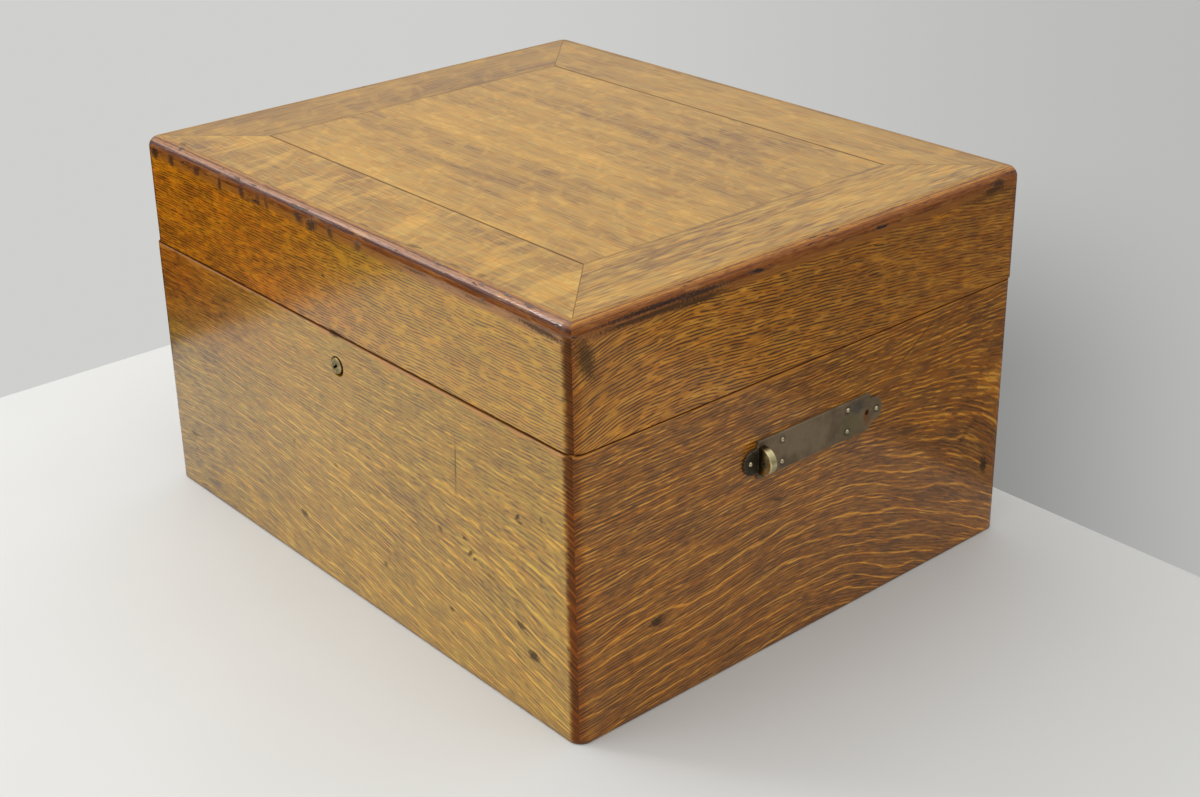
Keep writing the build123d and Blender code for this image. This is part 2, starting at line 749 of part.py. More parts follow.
def lid_boards():
    """Mitred rails, top border, centre panel and rounded edging, all cut from one rounded block."""
    block = outer_block(case_height, chest_height)
    block = chamfer(block.faces().sort_by(Axis.Z)[0].edges(), seam_arris)
    block = Pos(0, lid_setback, 0) * fillet(block.faces().sort_by(Axis.Z)[-1].edges(), lid_top_round)
    edging_low = chest_height - edging_section
    over = chest_height + cut_margin
    low = case_height - cut_margin
    near_x, near_y = half_width - edging_section, half_depth - edging_section
    shifted = Pos(0, lid_setback, 0)
    edging_room = span(-half_width, half_width, -half_depth, half_depth, edging_low, over)
    edging_room = shifted * (edging_room - span(-near_x, near_x, -near_y, near_y, low, over + cut_margin))
    top_room = shifted * span(-near_x, near_x, -near_y, near_y, lid_ceiling, over)
    tongues = lid_tongues()
    leaf_high = case_height + hinge_leaf_thickness
    pockets = [hinge_pocket(centre, low, leaf_high) for centre in hinge_centres]
    half_x, half_y = link_plate_width / 2, link_plate_depth / 2
    link_high = case_height + link_plate_thickness
    link_room = span(-half_x, half_x, works_y - half_y, works_y + half_y, low, link_high)
    extra = {
        "front": [link_room] + placed(link_screw_places(), wood_screw_hole),
        "back": pockets + placed(lid_hinge_places, wood_screw_hole),
        "left": [],
        "right": [],
    }
    groove_middle = lid_ceiling + lid_top_thickness / 2
    groove_low = groove_middle - panel_tongue_thickness / 2
    groove_high = groove_middle + panel_tongue_thickness / 2
    panel_x, panel_y = half_width - border_width, half_depth - border_width
    groove_x, groove_y = panel_x + panel_tongue_width, panel_y + panel_tongue_width
    groove = shifted * span(-groove_x, groove_x, -groove_y, groove_y, groove_low, groove_high)
    for side in sides:
        place = (side, half_width, half_depth)
        rail = block & mitred(*place, 0, lid_wall, low, over, lid_setback)
        save(f"lid_{side}_rail", cut(rail - edging_room - top_room, tongues + extra[side]))
        border = block & mitred(*place, edging_section, border_width, lid_ceiling, over, lid_setback)
        save(f"lid_border_{side}", border - groove)
        save(f"lid_edging_{side}", block & mitred(*place, 0, edging_section, edging_low, over, lid_setback))
    panel = shifted * span(-panel_x, panel_x, -panel_y, panel_y, lid_ceiling, chest_height)
    save("lid_centre_panel", panel + groove)


def lid_tongues():
    """The lid's loose tongues, between the rim and the top."""
    return corner_tongues(lid_wall, case_height + tongue_stop, lid_ceiling - tongue_stop, lid_setback)


def lid_lining():
    """A thin padded board under the top, inside the rails."""
    x = half_width - lid_wall - lid_lining_gap
    y = half_depth - lid_wall - lid_lining_gap
    low = lid_ceiling - lid_lining_thickness
    save("lid_lining", Pos(0, lid_setback, 0) * span(-x, x, -y, y, low, lid_ceiling))


# Tray


def tray_boards():
    """Four mitred boards, and the bottom in their groove."""
    half_x, half_y = tray_half_width, tray_half_depth
    groove_low = tray_low + tray_bottom_lift
    groove_high = groove_low + tray_bottom_thickness
    groove_x, groove_y = tray_inner_half_width + tray_groove, tray_inner_half_depth + tray_groove
    bottom_board = span(-groove_x, groove_x, -groove_y, groove_y, groove_low, groove_high)
    for side in sides:
        board = mitred(side, half_x, half_y, 0, tray_wall, tray_low, tray_top)
        save(f"tray_{side}_board", board - bottom_board)
    save("tray_bottom", bottom_board)
    x, y = tray_inner_half_width, tray_inner_half_depth
    save("tray_lining", span(-x, x, -y, y, groove_high, tray_floor))


def tray_cell_width():
    """Clear width of one of the front cells."""
    walls = tray_cross_count * tray_divider_thickness
    return (2 * tray_inner_half_width - walls) / (tray_cross_count + 1)


def tray_fittings():
    """Dividers, padded rests across the front cells, and leather lifting tabs."""
    x, y = tray_inner_half_width, tray_inner_half_depth
    top = tray_top - tray_divider_drop
    save("tray_long_divider", span(-x, x, lane_split, lane_split + tray_divider_thickness, tray_floor, top))
    cell = tray_cell_width()
    pitch = cell + tray_divider_thickness
    half = tray_divider_thickness / 2
    limits = (-y, lane_split, tray_floor, top)
    crosses = [span(place - half, place + half, *limits) for place in spaced(tray_cross_count, pitch)]
    save("tray_cross_dividers", *crosses)
    rest_y = (lane_split - y) / 2
    rests = []
    for centre in spaced(tray_cross_count + 1, pitch):
        ends = (centre - cell / 2 + rest_gap, centre + cell / 2 - rest_gap)
        roll = rod_along_x(rest_y, tray_floor, rest_radius, *ends)
        rests.append(roll & span(*ends, -y, lane_split, tray_floor, tray_top))
    save("tray_rests", *rests)
    tab_top = tray_top + tab_rise
    tab = span(x - tab_thickness, x, -tab_width / 2, tab_width / 2, tab_top - tab_length, tab_top)
    tab = fillet(tab.edges().filter_by(Axis.X).group_by(Axis.Z)[-1], tab_width / 3)
    save("tray_lift_tabs", tab, tab.mirror(Plane.YZ))


# Everything, written node by node

os.makedirs("parts", exist_ok=True)
case_boards()
save("case_mitre_tongues", *case_tongues())
bottom()
bearers()
well_lining()
well_dividers()
lock_fixed()
lock_moving()
hinges()
pins = placed(handle_pin_places(), handle_pin())
save("handle_pins", *pins, *[pin.mirror(Plane.YZ) for pin in pins])
plate = handle_plate()
save("right_handle_plate", plate)
save("right_handle_lug", handle_lug(-1))
save("left_handle_plate", plate.mirror(Plane.YZ))
save("left_handle_front_lug", handle_lug(-1).mirror(Plane.YZ))
save("left_handle_rear_lug", handle_lug(1).mirror(Plane.YZ))
save("left_handle_bail", handle_bail().mirror(Plane.YZ))
lid_boards()
save("lid_mitre_tongues", *lid_tongues())
lid_lining()
link_plate()
save("lid_screws", *placed(lid_hinge_places + link_screw_places(), wood_screw))
tray_boards()
tray_fittings()
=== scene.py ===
import math

import bmesh
import bpy
from mathutils import Matrix, Vector


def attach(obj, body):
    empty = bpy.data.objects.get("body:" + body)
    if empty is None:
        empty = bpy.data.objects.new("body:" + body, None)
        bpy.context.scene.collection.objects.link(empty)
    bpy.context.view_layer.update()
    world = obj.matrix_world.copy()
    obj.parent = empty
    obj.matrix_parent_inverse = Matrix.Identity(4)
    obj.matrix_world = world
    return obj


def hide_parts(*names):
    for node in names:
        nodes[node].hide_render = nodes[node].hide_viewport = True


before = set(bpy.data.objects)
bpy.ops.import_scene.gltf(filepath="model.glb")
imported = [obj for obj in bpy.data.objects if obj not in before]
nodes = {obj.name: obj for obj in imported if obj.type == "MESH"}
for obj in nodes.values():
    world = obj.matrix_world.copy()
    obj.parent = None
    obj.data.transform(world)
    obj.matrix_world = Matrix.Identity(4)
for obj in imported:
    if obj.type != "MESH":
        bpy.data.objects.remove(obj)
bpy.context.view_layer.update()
print("frame loaded:", len(nodes), "nodes")


# Shader helpers. They add nodes to the tree that is being built, which newFinish and makeRoom choose.

tree = None


def plug(node, inputs):
    # An input gets a link where its value comes from a node, and else the plain value
    for name, value in inputs.items():
        socket = node.inputs[name]
        if isinstance(value, bpy.types.NodeSocket):
            tree.links.new(value, socket)
        else:
            socket.default_value = value


def addNode(kind, inputs=None, **settings):
    node = tree.nodes.new("ShaderNode" + kind)
    for name, value in settings.items():
        setattr(node, name, value)
    plug(node, inputs or {})
    return node


def calc(operation, *values):
    return addNode("Math", dict(enumerate(values)), operation=operation).outputs[0]


def times(first, second):
    return calc("MULTIPLY", first, second)


def timesPlus(first, second, third):
    return calc("MULTIPLY_ADD", first, second, third)


def plus(first, second):
    return calc("ADD", first, second)


def minus(first, second):
    return calc("SUBTRACT", first, second)


def larger(first, second):
    return calc("MAXIMUM", first, second)


def absolute(value):
    return calc("ABSOLUTE", value)


def objectPlace():
    return addNode("TexCoord").outputs["Object"]


def split(vector):
    return addNode("SeparateXYZ", {"Vector": vector}).outputs


def remap(value, low, high, outLow=0.0, outHigh=1.0, smooth=False):
    kind = "SMOOTHSTEP" if smooth else "LINEAR"
    inputs = {"Value": value, "From Min": low, "From Max": high, "To Min": outLow, "To Max": outHigh}
    return addNode("MapRange", inputs, interpolation_type=kind).outputs["Result"]


def noise(vector, detail=2.0, roughness=0.5, distortion=0.0, scale=1.0):
    inputs = {"Vector": vector, "Scale": scale, "Detail": detail, "Roughness": roughness}
    return addNode("TexNoise", {**inputs, "Distortion": distortion}).outputs["Fac"]


def stretch(along, scaleAlong, across, scaleAcross, layer):
    # Where noise is read: scaled apart along and across, in a layer of its own
    inputs = {"X": times(along, scaleAlong), "Y": times(across, scaleAcross), "Z": layer}
    return addNode("CombineXYZ", inputs).outputs[0]


def cloud(along, across, layer, scaleAlong, scaleAcross):
    # Uneven tone, longer with the grain, from about -0.5 to 0.5
    return minus(noise(stretch(along, scaleAlong, across, scaleAcross, layer)), 0.5)


def blendColor(factor, first, second, kind="MIX"):
    node = addNode("Mix", data_type="RGBA", blend_type=kind)
    for index, value in ((0, factor), (6, first), (7, second)):
        plain = isinstance(value, tuple)
        plug(node, {index: (*value, 1.0) if plain else value})
    return node.outputs[2]


def ramp(factor, stops):
    node = addNode("ValToRGB", {"Fac": factor})
    elements = node.color_ramp.elements
    while len(elements) < len(stops):
        elements.new(0.5)
    for element, (place, color) in zip(elements, stops):
        element.position = place
        element.color = (*color, 1.0)
    return node.outputs["Color"]


def bump(height, strength, distance):
    return addNode("Bump", {"Height": height, "Strength": strength, "Distance": distance}).outputs["Normal"]


markEdge = {"scale": 560.0, "ragged": 1.9, "soft": (0.55, 1.25)}


def markMask(along, across, marks):
    # Dents, drips and chips: each is an ellipse with a soft, ragged edge.
    # A mark is: along, across, half its length, half its width, its turn in degrees, and its depth.
    spot = addNode("CombineXYZ", {"X": along, "Y": across}).outputs[0]
    ragged = minus(noise(spot, scale=markEdge["scale"]), 0.5)
    total = 0.0
    for spotAlong, spotAcross, halfAlong, halfAcross, turn, depth in marks:
        ellipse = addNode("Mapping", {
            "Vector": spot,
            "Location": (spotAlong, spotAcross, 0.0),
            "Rotation": (0.0, 0.0, math.radians(turn)),
            "Scale": (halfAlong, halfAcross, 1.0),
        }, vector_type="TEXTURE").outputs[0]
        reach = addNode("VectorMath", {0: ellipse}, operation="LENGTH").outputs["Value"]
        reach = timesPlus(ragged, markEdge["ragged"], reach)
        total = larger(total, remap(reach, *markEdge["soft"], depth, 0.0))
    return total


def newFinish(name):
    global tree
    material = bpy.data.materials.new(name)
    material.use_nodes = True
    tree = material.node_tree
    return material, tree.nodes["Principled BSDF"]


def paint(name, material):
    nodes[name].data.materials.clear()
    nodes[name].data.materials.append(material)


# Oak. Every board has its own look: which way its grain runs, how the figure bends and where it is marked.
# Lengths are metres on the board: first along the grain, then across it.

oakTones = {
    "case": [(0.0, (0.11, 0.045, 0.006)), (0.2, (0.26, 0.125, 0.012)), (0.42, (0.42, 0.225, 0.022)),
             (0.62, (0.54, 0.285, 0.028)), (0.82, (0.70, 0.37, 0.042)), (1.0, (0.82, 0.46, 0.07))],
    "side": [(0.0, (0.07, 0.024, 0.004)), (0.2, (0.16, 0.055, 0.008)), (0.42, (0.29, 0.100, 0.010)),
             (0.62, (0.42, 0.155, 0.011)), (0.82, (0.62, 0.25, 0.016)), (1.0, (0.80, 0.36, 0.035))],
    "top": [(0.0, (0.20, 0.085, 0.012)), (0.2, (0.36, 0.18, 0.020)), (0.42, (0.50, 0.265, 0.030)),
            (0.62, (0.60, 0.320, 0.034)), (0.82, (0.70, 0.375, 0.040)), (1.0, (0.80, 0.44, 0.06))],
    "inside": [(0.0, (0.16, 0.085, 0.035)), (0.28, (0.32, 0.19, 0.085)), (0.55, (0.46, 0.29, 0.14)),
               (0.8, (0.56, 0.37, 0.19)), (1.0, (0.66, 0.46, 0.26))],
}
shellac = {
    "Roughness": 0.45,
    "Specular IOR Level": 0.5,
    "Specular Tint": (1.0, 0.62, 0.16, 1.0),
    "Coat Weight": 1.0,
    "Coat Roughness": 0.15,
    "Coat IOR": 1.5,
}


# How the wood looks where the finish is worn or dirty, with a painted highlight on the worn rim, dirt and
# painted shade in the seam and a darker foot; the same on all boards
oakWear = {
    "corner": {"ragged": 0.006},
    "strip": {"strength": 0.8, "chip": (0.035, 0.018, 0.012)},
    "rim": {"color": (0.58, 0.22, 0.025), "strength": 0.7, "wide": 0.0016, "swing": 0.014},
    "foot": {"color": (0.12, 0.05, 0.02), "strength": 0.7, "high": 0.004},
    "dent": {"color": (0.03, 0.014, 0.01)},
    "seam": {"color": (0.07, 0.020, 0.005), "strength": 0.92, "arris": (0.0032, 0.0020)},
    "glue": {"color": (0.085, 0.030, 0.004), "deep": 0.0006},
}
# Noise of its own: the layer that it is read in, beyond the board's seed, and its scales along and across
oakNoise = {"corner": (50.0, 200.0, 420.0), "drift": (40.0, 45.0, 260.0), "rim": (80.0, 38.0, 20.0),
            "strip": (21.0, 42.0, 150.0)}
rayLayer, gapLayer, mottleLayer = 2.3, 7.0, 70.0  # more layers, for each size of rays, its gaps and varnish
outerFace = (0.007, 0.003)  # stains and wear begin and are full this far inside the outer face
innerFace = (0.0002, 0.0014)  # the plain inner face ends this far into the wood
amberLevels = (0.11, 0.19)  # the old varnish, with its painted warm reflection, turns from its low tint to its high one between these heights
driftTints = ((1.0, 0.90, 0.7), (0.97, 1.04, 1.5))  # the hue drifts between redder and bluer wood
curl = 0.9  # how fast the rays move on from the board's face into its depth
gapRows = 0.62  # rows of gaps in the rays, for each ray


def oakPlace(along, across, seed, kind):
    layer, scaleAlong, scaleAcross = oakNoise[kind]
    return stretch(along, scaleAlong, across, scaleAcross, seed + layer)


def oakCloud(along, across, seed, kind):
    return minus(noise(oakPlace(along, across, seed, kind)), 0.5)


def bentAcross(along, across, look):
    # The figure rises and falls along the board by a drawn curve, and less so towards the board's top
    half, rise = look["half"], look["rise"]
    curve = addNode("FloatCurve", {"Value": remap(along, -half, half)})
    points = curve.mapping.curves[0].points
    for index, (place, height) in enumerate(look["bend"]):
        spot = ((place + half) / (2 * half), 0.5 + height / (2 * rise))
        if index < 2:
            points[index].location = spot
        else:
            points.new(*spot)
    curve.mapping.update()
    offset = remap(curve.outputs[0], 0.0, 1.0, -rise, rise)
    return minus(across, times(offset, remap(across, *look["flat"], smooth=True)))


def flecks(along, across, layer, rays):
    # Wavy rays of one size, broken into dashes
    sway = noise(stretch(along, rays["wander"][0], across, rays["wander"][1], layer), 2.5)
    phase = timesPlus(across, 1.0 / rays["pitch"], times(minus(sway, 0.5), rays["swing"]))
    line = remap(calc("SINE", times(phase, 2 * math.pi)), *rays["edge"], smooth=True)
    place = stretch(along, 1.0 / rays["length"], across, gapRows / rays["pitch"], layer + gapLayer)
    return times(line, remap(noise(place, 1.5), *rays["gaps"], smooth=True))


def measureBoard(look):
    # Where a point lies on its board: level is straight across the grain, and across follows the figure
    axes = split(objectPlace())
    along, level, depth = (axes[axis] for axis in look["axes"])
    across = bentAcross(along, level, look) if "bend" in look else level
    # The rays run on into the board, so they curl round its corners and lie along its edges
    across = timesPlus(depth, curl * look.get("into", 1.0), across)
    board = {"axes": axes, "along": along, "level": level, "depth": depth, "across": across, "outer": 1.0}
    if "faces" in look:
        # Stains and wear are only on the outer face
        face = look["faces"][0]
        board["reach"] = absolute(depth)
        board["outer"] = remap(board["reach"], face - outerFace[0], face - outerFace[1])
    if "corner" in look:
        # Beside the rounded mitre the wood is painted darker, a painted dark reflection of the rounded
        # corner; its varnish is worn there too
        begin, wide = look["corner"]
        ragged = oakCloud(along, level, look["seed"], "corner")
        reach = timesPlus(ragged, oakWear["corner"]["ragged"], absolute(along))
        board["corner"] = remap(reach, begin, begin + wide, smooth=True)
    # Where the old varnish lies thick: partly its amber finish, partly a painted warm reflection
    if "amber" in look:
        amber = look["amber"]
        spread = remap(along, *amber["along"], amber["strength"], amber["least"], True)
        board["varnish"] = times(board["outer"], spread)
    return board


def openPores(board, look):
    # Short dark dashes with the grain
    pores = 0.0
    for scaleAlong, scaleAcross, low, high, amount in look["pores"]:
        layer = timesPlus(board["depth"], scaleAlong, look["seed"] + scaleAlong)
        dashes = noise(stretch(board["along"], scaleAlong, board["across"], scaleAcross, layer), 1.0)
        pores = larger(pores, remap(dashes, low, high, 0.0, amount))
    return pores


def woodTone(board, look, pores):
    along, across, level, seed = board["along"], board["across"], board["level"], look["seed"]
    tone = look["base"]
    for index, rays in enumerate(look["rays"]):
        layer = flecks(along, across, seed + rayLayer * index, rays)
        if "fade" in rays:
            layer = times(layer, remap(level, *rays["fade"], smooth=True))
        if "fadeAlong" in rays:
            layer = times(layer, remap(along, *rays["fadeAlong"], smooth=True))
        tone = timesPlus(layer, rays["amount"], tone)
    tone = minus(tone, pores)
    for scaleAlong, scaleAcross, amount in look["clouds"]:
        tone = timesPlus(cloud(along, across, seed + scaleAcross, scaleAlong, scaleAcross), amount, tone)
    if "amber" in look:
        # Thicker old varnish is more mottled
        for scaleAlong, scaleAcross, amount in look["amber"]["mottle"]:
            mottle = times(cloud(along, across, seed + mottleLayer, scaleAlong, scaleAcross), amount)
            tone = timesPlus(mottle, board["varnish"], tone)
    for scaleAlong, scaleAcross, shear, low, high, amount, *fade in look.get("flakes", []):
        # Broad rays cut along their face: patches that may slant and fade out across the board
        slanted = timesPlus(across, shear, along)
        place = stretch(slanted, scaleAlong, across, scaleAcross, seed + scaleAlong * 0.1)
        flake = remap(noise(place, 2.5, 0.55, 0.5), low, high, 0.0, amount, True)
        if fade:
            flake = times(flake, remap(across, *fade, smooth=True))
        tone = plus(tone, flake)
    if "lean" in look:
        # One end of the board is darker than the other
        low, high, shift = look["lean"]
        tone = plus(tone, remap(along, low, high, -shift, shift, True))
    # Painted dark reflection beside the rounded mitre
    if "corner" in look:
        tone = timesPlus(board["corner"], -look["cornerPaintedDark"], tone)
    # Painted light and shade on the outer face: lighter patches where light falls, darker ones where shade
    # falls
    for kind, strength in (("lights", 0.5), ("paintedShades", -0.5)):
        if kind in look:
            tone = timesPlus(times(board["outer"], markMask(along, level, look[kind])), strength, tone)
    return tone


def woodColor(board, look, tone):
    color = ramp(tone, oakTones[look["tones"]])
    if "faces" in look:
        # The inner face was left plain
        back = look["faces"][1]
        plain = ramp(tone, oakTones["inside"])
        wood = remap(board["reach"], back + innerFace[0], back + innerFace[1])
        color = blendColor(wood, plain, color)
    drift = remap(oakCloud(board["along"], board["across"], look["seed"], "drift"), -0.15, 0.15)
    cool = look.get("cool", 1.0)
    tints = [(red, green, blue * cool) for red, green, blue in driftTints]
    color = blendColor(1.0, color, blendColor(drift, *tints), "MULTIPLY")
    # Painted dark reflection beside the rounded mitre, tinted
    if "corner" in look:
        color = blendColor(board["corner"], color, look["cornerPaintedTint"], "MULTIPLY")
    # Amber tint of the old varnish, partly a painted warm reflection
    if "amber" in look:
        amber = look["amber"]
        tint = blendColor(remap(board["level"], *amberLevels, smooth=True), amber["low"], amber["high"])
        color = blendColor(board["varnish"], color, tint, "MULTIPLY")
    return color


def rubbedBand(board, look, color):
    # Reddish band under the edging, with dark worn chips along it
    low, high = look["strip"]
    outer, level = board["outer"], board["level"]
    band = times(outer, remap(level, low, high, smooth=True))
    band = times(times(band, minus(1.0, board["corner"])), oakWear["strip"]["strength"])
    color = blendColor(band, color, look["stripColor"])
    worn = noise(oakPlace(board["along"], level, look["seed"], "strip"), 3.0, 0.6)
    band = times(outer, remap(level, low + 0.001, high, smooth=True))
    return blendColor(times(remap(worn, *look["chips"]), band), color, oakWear["strip"]["chip"])


def rimWearAndHighlight(board, look, color):
    # Orange arris where the finish has worn at the seam, wider in places, partly a painted highlight on the
    # arris
    wear = oakWear["rim"]
    places = oakCloud(board["along"], board["level"], look["seed"], "rim")
    edge = timesPlus(places, wear["swing"], board["level"])
    worn = remap(edge, look["rim"], look["rim"] + wear["wide"], 0.0, wear["strength"], True)
    return blendColor(times(board["outer"], worn), color, wear["color"])


def seamLine(board, look):
    # Dirt and shade in the seam, on the outer arris of the case and of the lid
    face, wear = look["faces"][0], oakWear["seam"]
    arris = remap(board["reach"], face - wear["arris"][0], face - wear["arris"][1])
    return times(remap(board["level"], *look["seam"], 0.0, wear["strength"]), arris)


def glueLines(axes, joints):
    # Dark glue lines at the mitres and round the centre panel
    flat = {"X": absolute(axes["X"]), "Y": absolute(minus(axes["Y"], joints["shift"]))}
    mitre = absolute(minus(minus(flat["X"], flat["Y"]), joints["apart"]))
    line = remap(mitre, 0.0001, 0.0007, joints["mitre"], 0.0)
    for axis, where, width, strength in joints["lines"]:
        gap = absolute(minus(flat[axis], where))
        line = larger(line, remap(gap, width * 0.4, width, strength, 0.0))
    return line


def oakFinish(name, look):
    material, shader = newFinish(name)
    board = measureBoard(look)
    pores = openPores(board, look)
    color = woodColor(board, look, woodTone(board, look, pores))
    if "strip" in look:
        color = rubbedBand(board, look, color)
    if "rim" in look:
        color = rimWearAndHighlight(board, look, color)
    # The board is darker along its bottom edge
    if "foot" in look:
        wear = oakWear["foot"]
        bottomDarkening = remap(board["level"], wear["high"], 0.0, 0.0, wear["strength"])
        color = blendColor(bottomDarkening, color, wear["color"])
    bare, line = 0.0, 0.0
    if "marks" in look:
        bare = times(board["outer"], markMask(board["along"], board["level"], look["marks"]))
        color = blendColor(bare, color, oakWear["dent"]["color"])
    if "corner" in look:
        bare = larger(bare, times(board["corner"], look["cornerBare"]))
    if "seam" in look:
        line = seamLine(board, look)
        color = blendColor(line, color, oakWear["seam"]["color"])
    if "joints" in look:
        line = glueLines(board["axes"], look["joints"])
        color = blendColor(line, color, oakWear["glue"]["color"])
    height = minus(timesPlus(pores, -1.0, 1.0), line)
    plug(shader, {"Base Color": color, "Normal": bump(height, 0.25, 0.0002)})
    if not look.get("polished", True):
        plug(shader, {"Roughness": 0.55, "Specular IOR Level": 0.35})
        return material
    # The varnish is gone from the dents, the rubbed corners and the open joints
    plug(shader, shellac)
    plug(shader, {"Coat Weight": times(minus(1.0, larger(bare, line)), look.get("coat", 1.0))})
    if "seam" in look:
        # Nothing shines in the seam
        for name, dull in (("Roughness", 1.0), ("Specular IOR Level", 0.0)):
            plug(shader, {name: remap(line, 0.0, 0.9, shellac[name], dull)})
    if "joints" in look:
        plug(shader, {"Coat Normal": bump(times(line, -1.0), 1.0, oakWear["glue"]["deep"])})
    return material


# Bright rays catch the light, and dark ones are the open grain between them
fineRays = {"pitch": 0.0025, "wander": (26.0, 60.0), "swing": 2.2, "edge": (0.0, 0.95), "length": 0.012,
            "gaps": (0.38, 0.56), "amount": 0.3}
midRays = {"pitch": 0.0049, "wander": (20.0, 44.0), "swing": 2.2, "edge": (0.55, 0.98), "length": 0.016,
           "gaps": (0.46, 0.58), "amount": 0.36}
boldRays = {"pitch": 0.0082, "wander": (14.0, 30.0), "swing": 2.2, "edge": (0.72, 1.0), "length": 0.026,
            "gaps": (0.45, 0.55), "amount": 0.46}
darkRays = {"pitch": 0.0021, "wander": (30.0, 70.0), "swing": 2.6, "edge": (-0.1, 0.8), "length": 0.010,
            "gaps": (0.36, 0.5), "amount": -0.5}
finePores = [(110.0, 1500.0, 0.5, 0.66, 0.26), (40.0, 700.0, 0.56, 0.72, 0.2)]

# The long boards and the end boards: their axes, half their length, and the painted dark reflection and worn
# varnish beside their mitres
longBoard = {"axes": "XZY", "half": 0.254, "corner": (0.2436, 0.0048), "cornerPaintedDark": 0.2,
             "cornerPaintedTint": (0.42, 0.16, 0.06), "cornerBare": 0.85}
endBoard = {"axes": "YZX", "half": 0.211, "corner": (0.2010, 0.008), "cornerPaintedDark": 0.17,
            "cornerPaintedTint": (0.82, 0.54, 0.38), "cornerBare": 0.3}
railPores = [(60.0, 1100.0, 0.52, 0.64, 0.3), (34.0, 640.0, 0.58, 0.7, 0.2)]

# The boards and rails that the photo doesn't show are plainer
hiddenBoard = {
    "tones": "side", "base": 0.48, "rise": 0.06, "flat": (0.21, 0.06), "pores": finePores,
    "rays": [fineRays, midRays, {**boldRays, "fade": (0.17, 0.1)}, {**darkRays, "amount": -0.26}],
    "clouds": [(8.0, 22.0, 0.3), (22.0, 90.0, 0.3), (40.0, 260.0, 0.34)],
    "rim": 0.2046, "seam": (0.2062, 0.2067), "foot": True,
}
hiddenRail = {
    "tones": "side", "base": 0.66, "rays": [{**darkRays, "pitch": 0.0024}], "pores": railPores,
    "clouds": [(9.0, 24.0, 0.4), (40.0, 130.0, 0.35), (70.0, 300.0, 0.5)], "seam": (0.2079, 0.2074),
    "strip": (0.2755, 0.2795), "stripColor": (0.30, 0.105, 0.022), "chips": (0.6, 0.7),
}

# Worn places that hang from the edging at the front: along, up, half length, half height, turn, depth
frontChips = [
    (0.036, 0.281, 0.0042, 0.0042, 30, 0.65), (0.003, 0.2815, 0.0032, 0.005, 18, 0.75),
    (-0.020, 0.281, 0.0075, 0.0045, 24, 0.85), (-0.036, 0.2825, 0.0055, 0.0038, -20, 0.8),
    (-0.0775, 0.281, 0.0022, 0.0055, 16, 0.65), (-0.0890, 0.2815, 0.0030, 0.0045, 8, 0.6),
    (-0.1115, 0.2815, 0.0038, 0.0048, 28, 0.8), (-0.1420, 0.2800, 0.0026, 0.0056, 0, 0.8),
    (-0.1750, 0.2820, 0.0050, 0.0036, 25, 0.75), (-0.2130, 0.2810, 0.0046, 0.0048, 32, 0.8),
    (-0.2380, 0.2815, 0.0060, 0.0046, 12, 0.9),
]

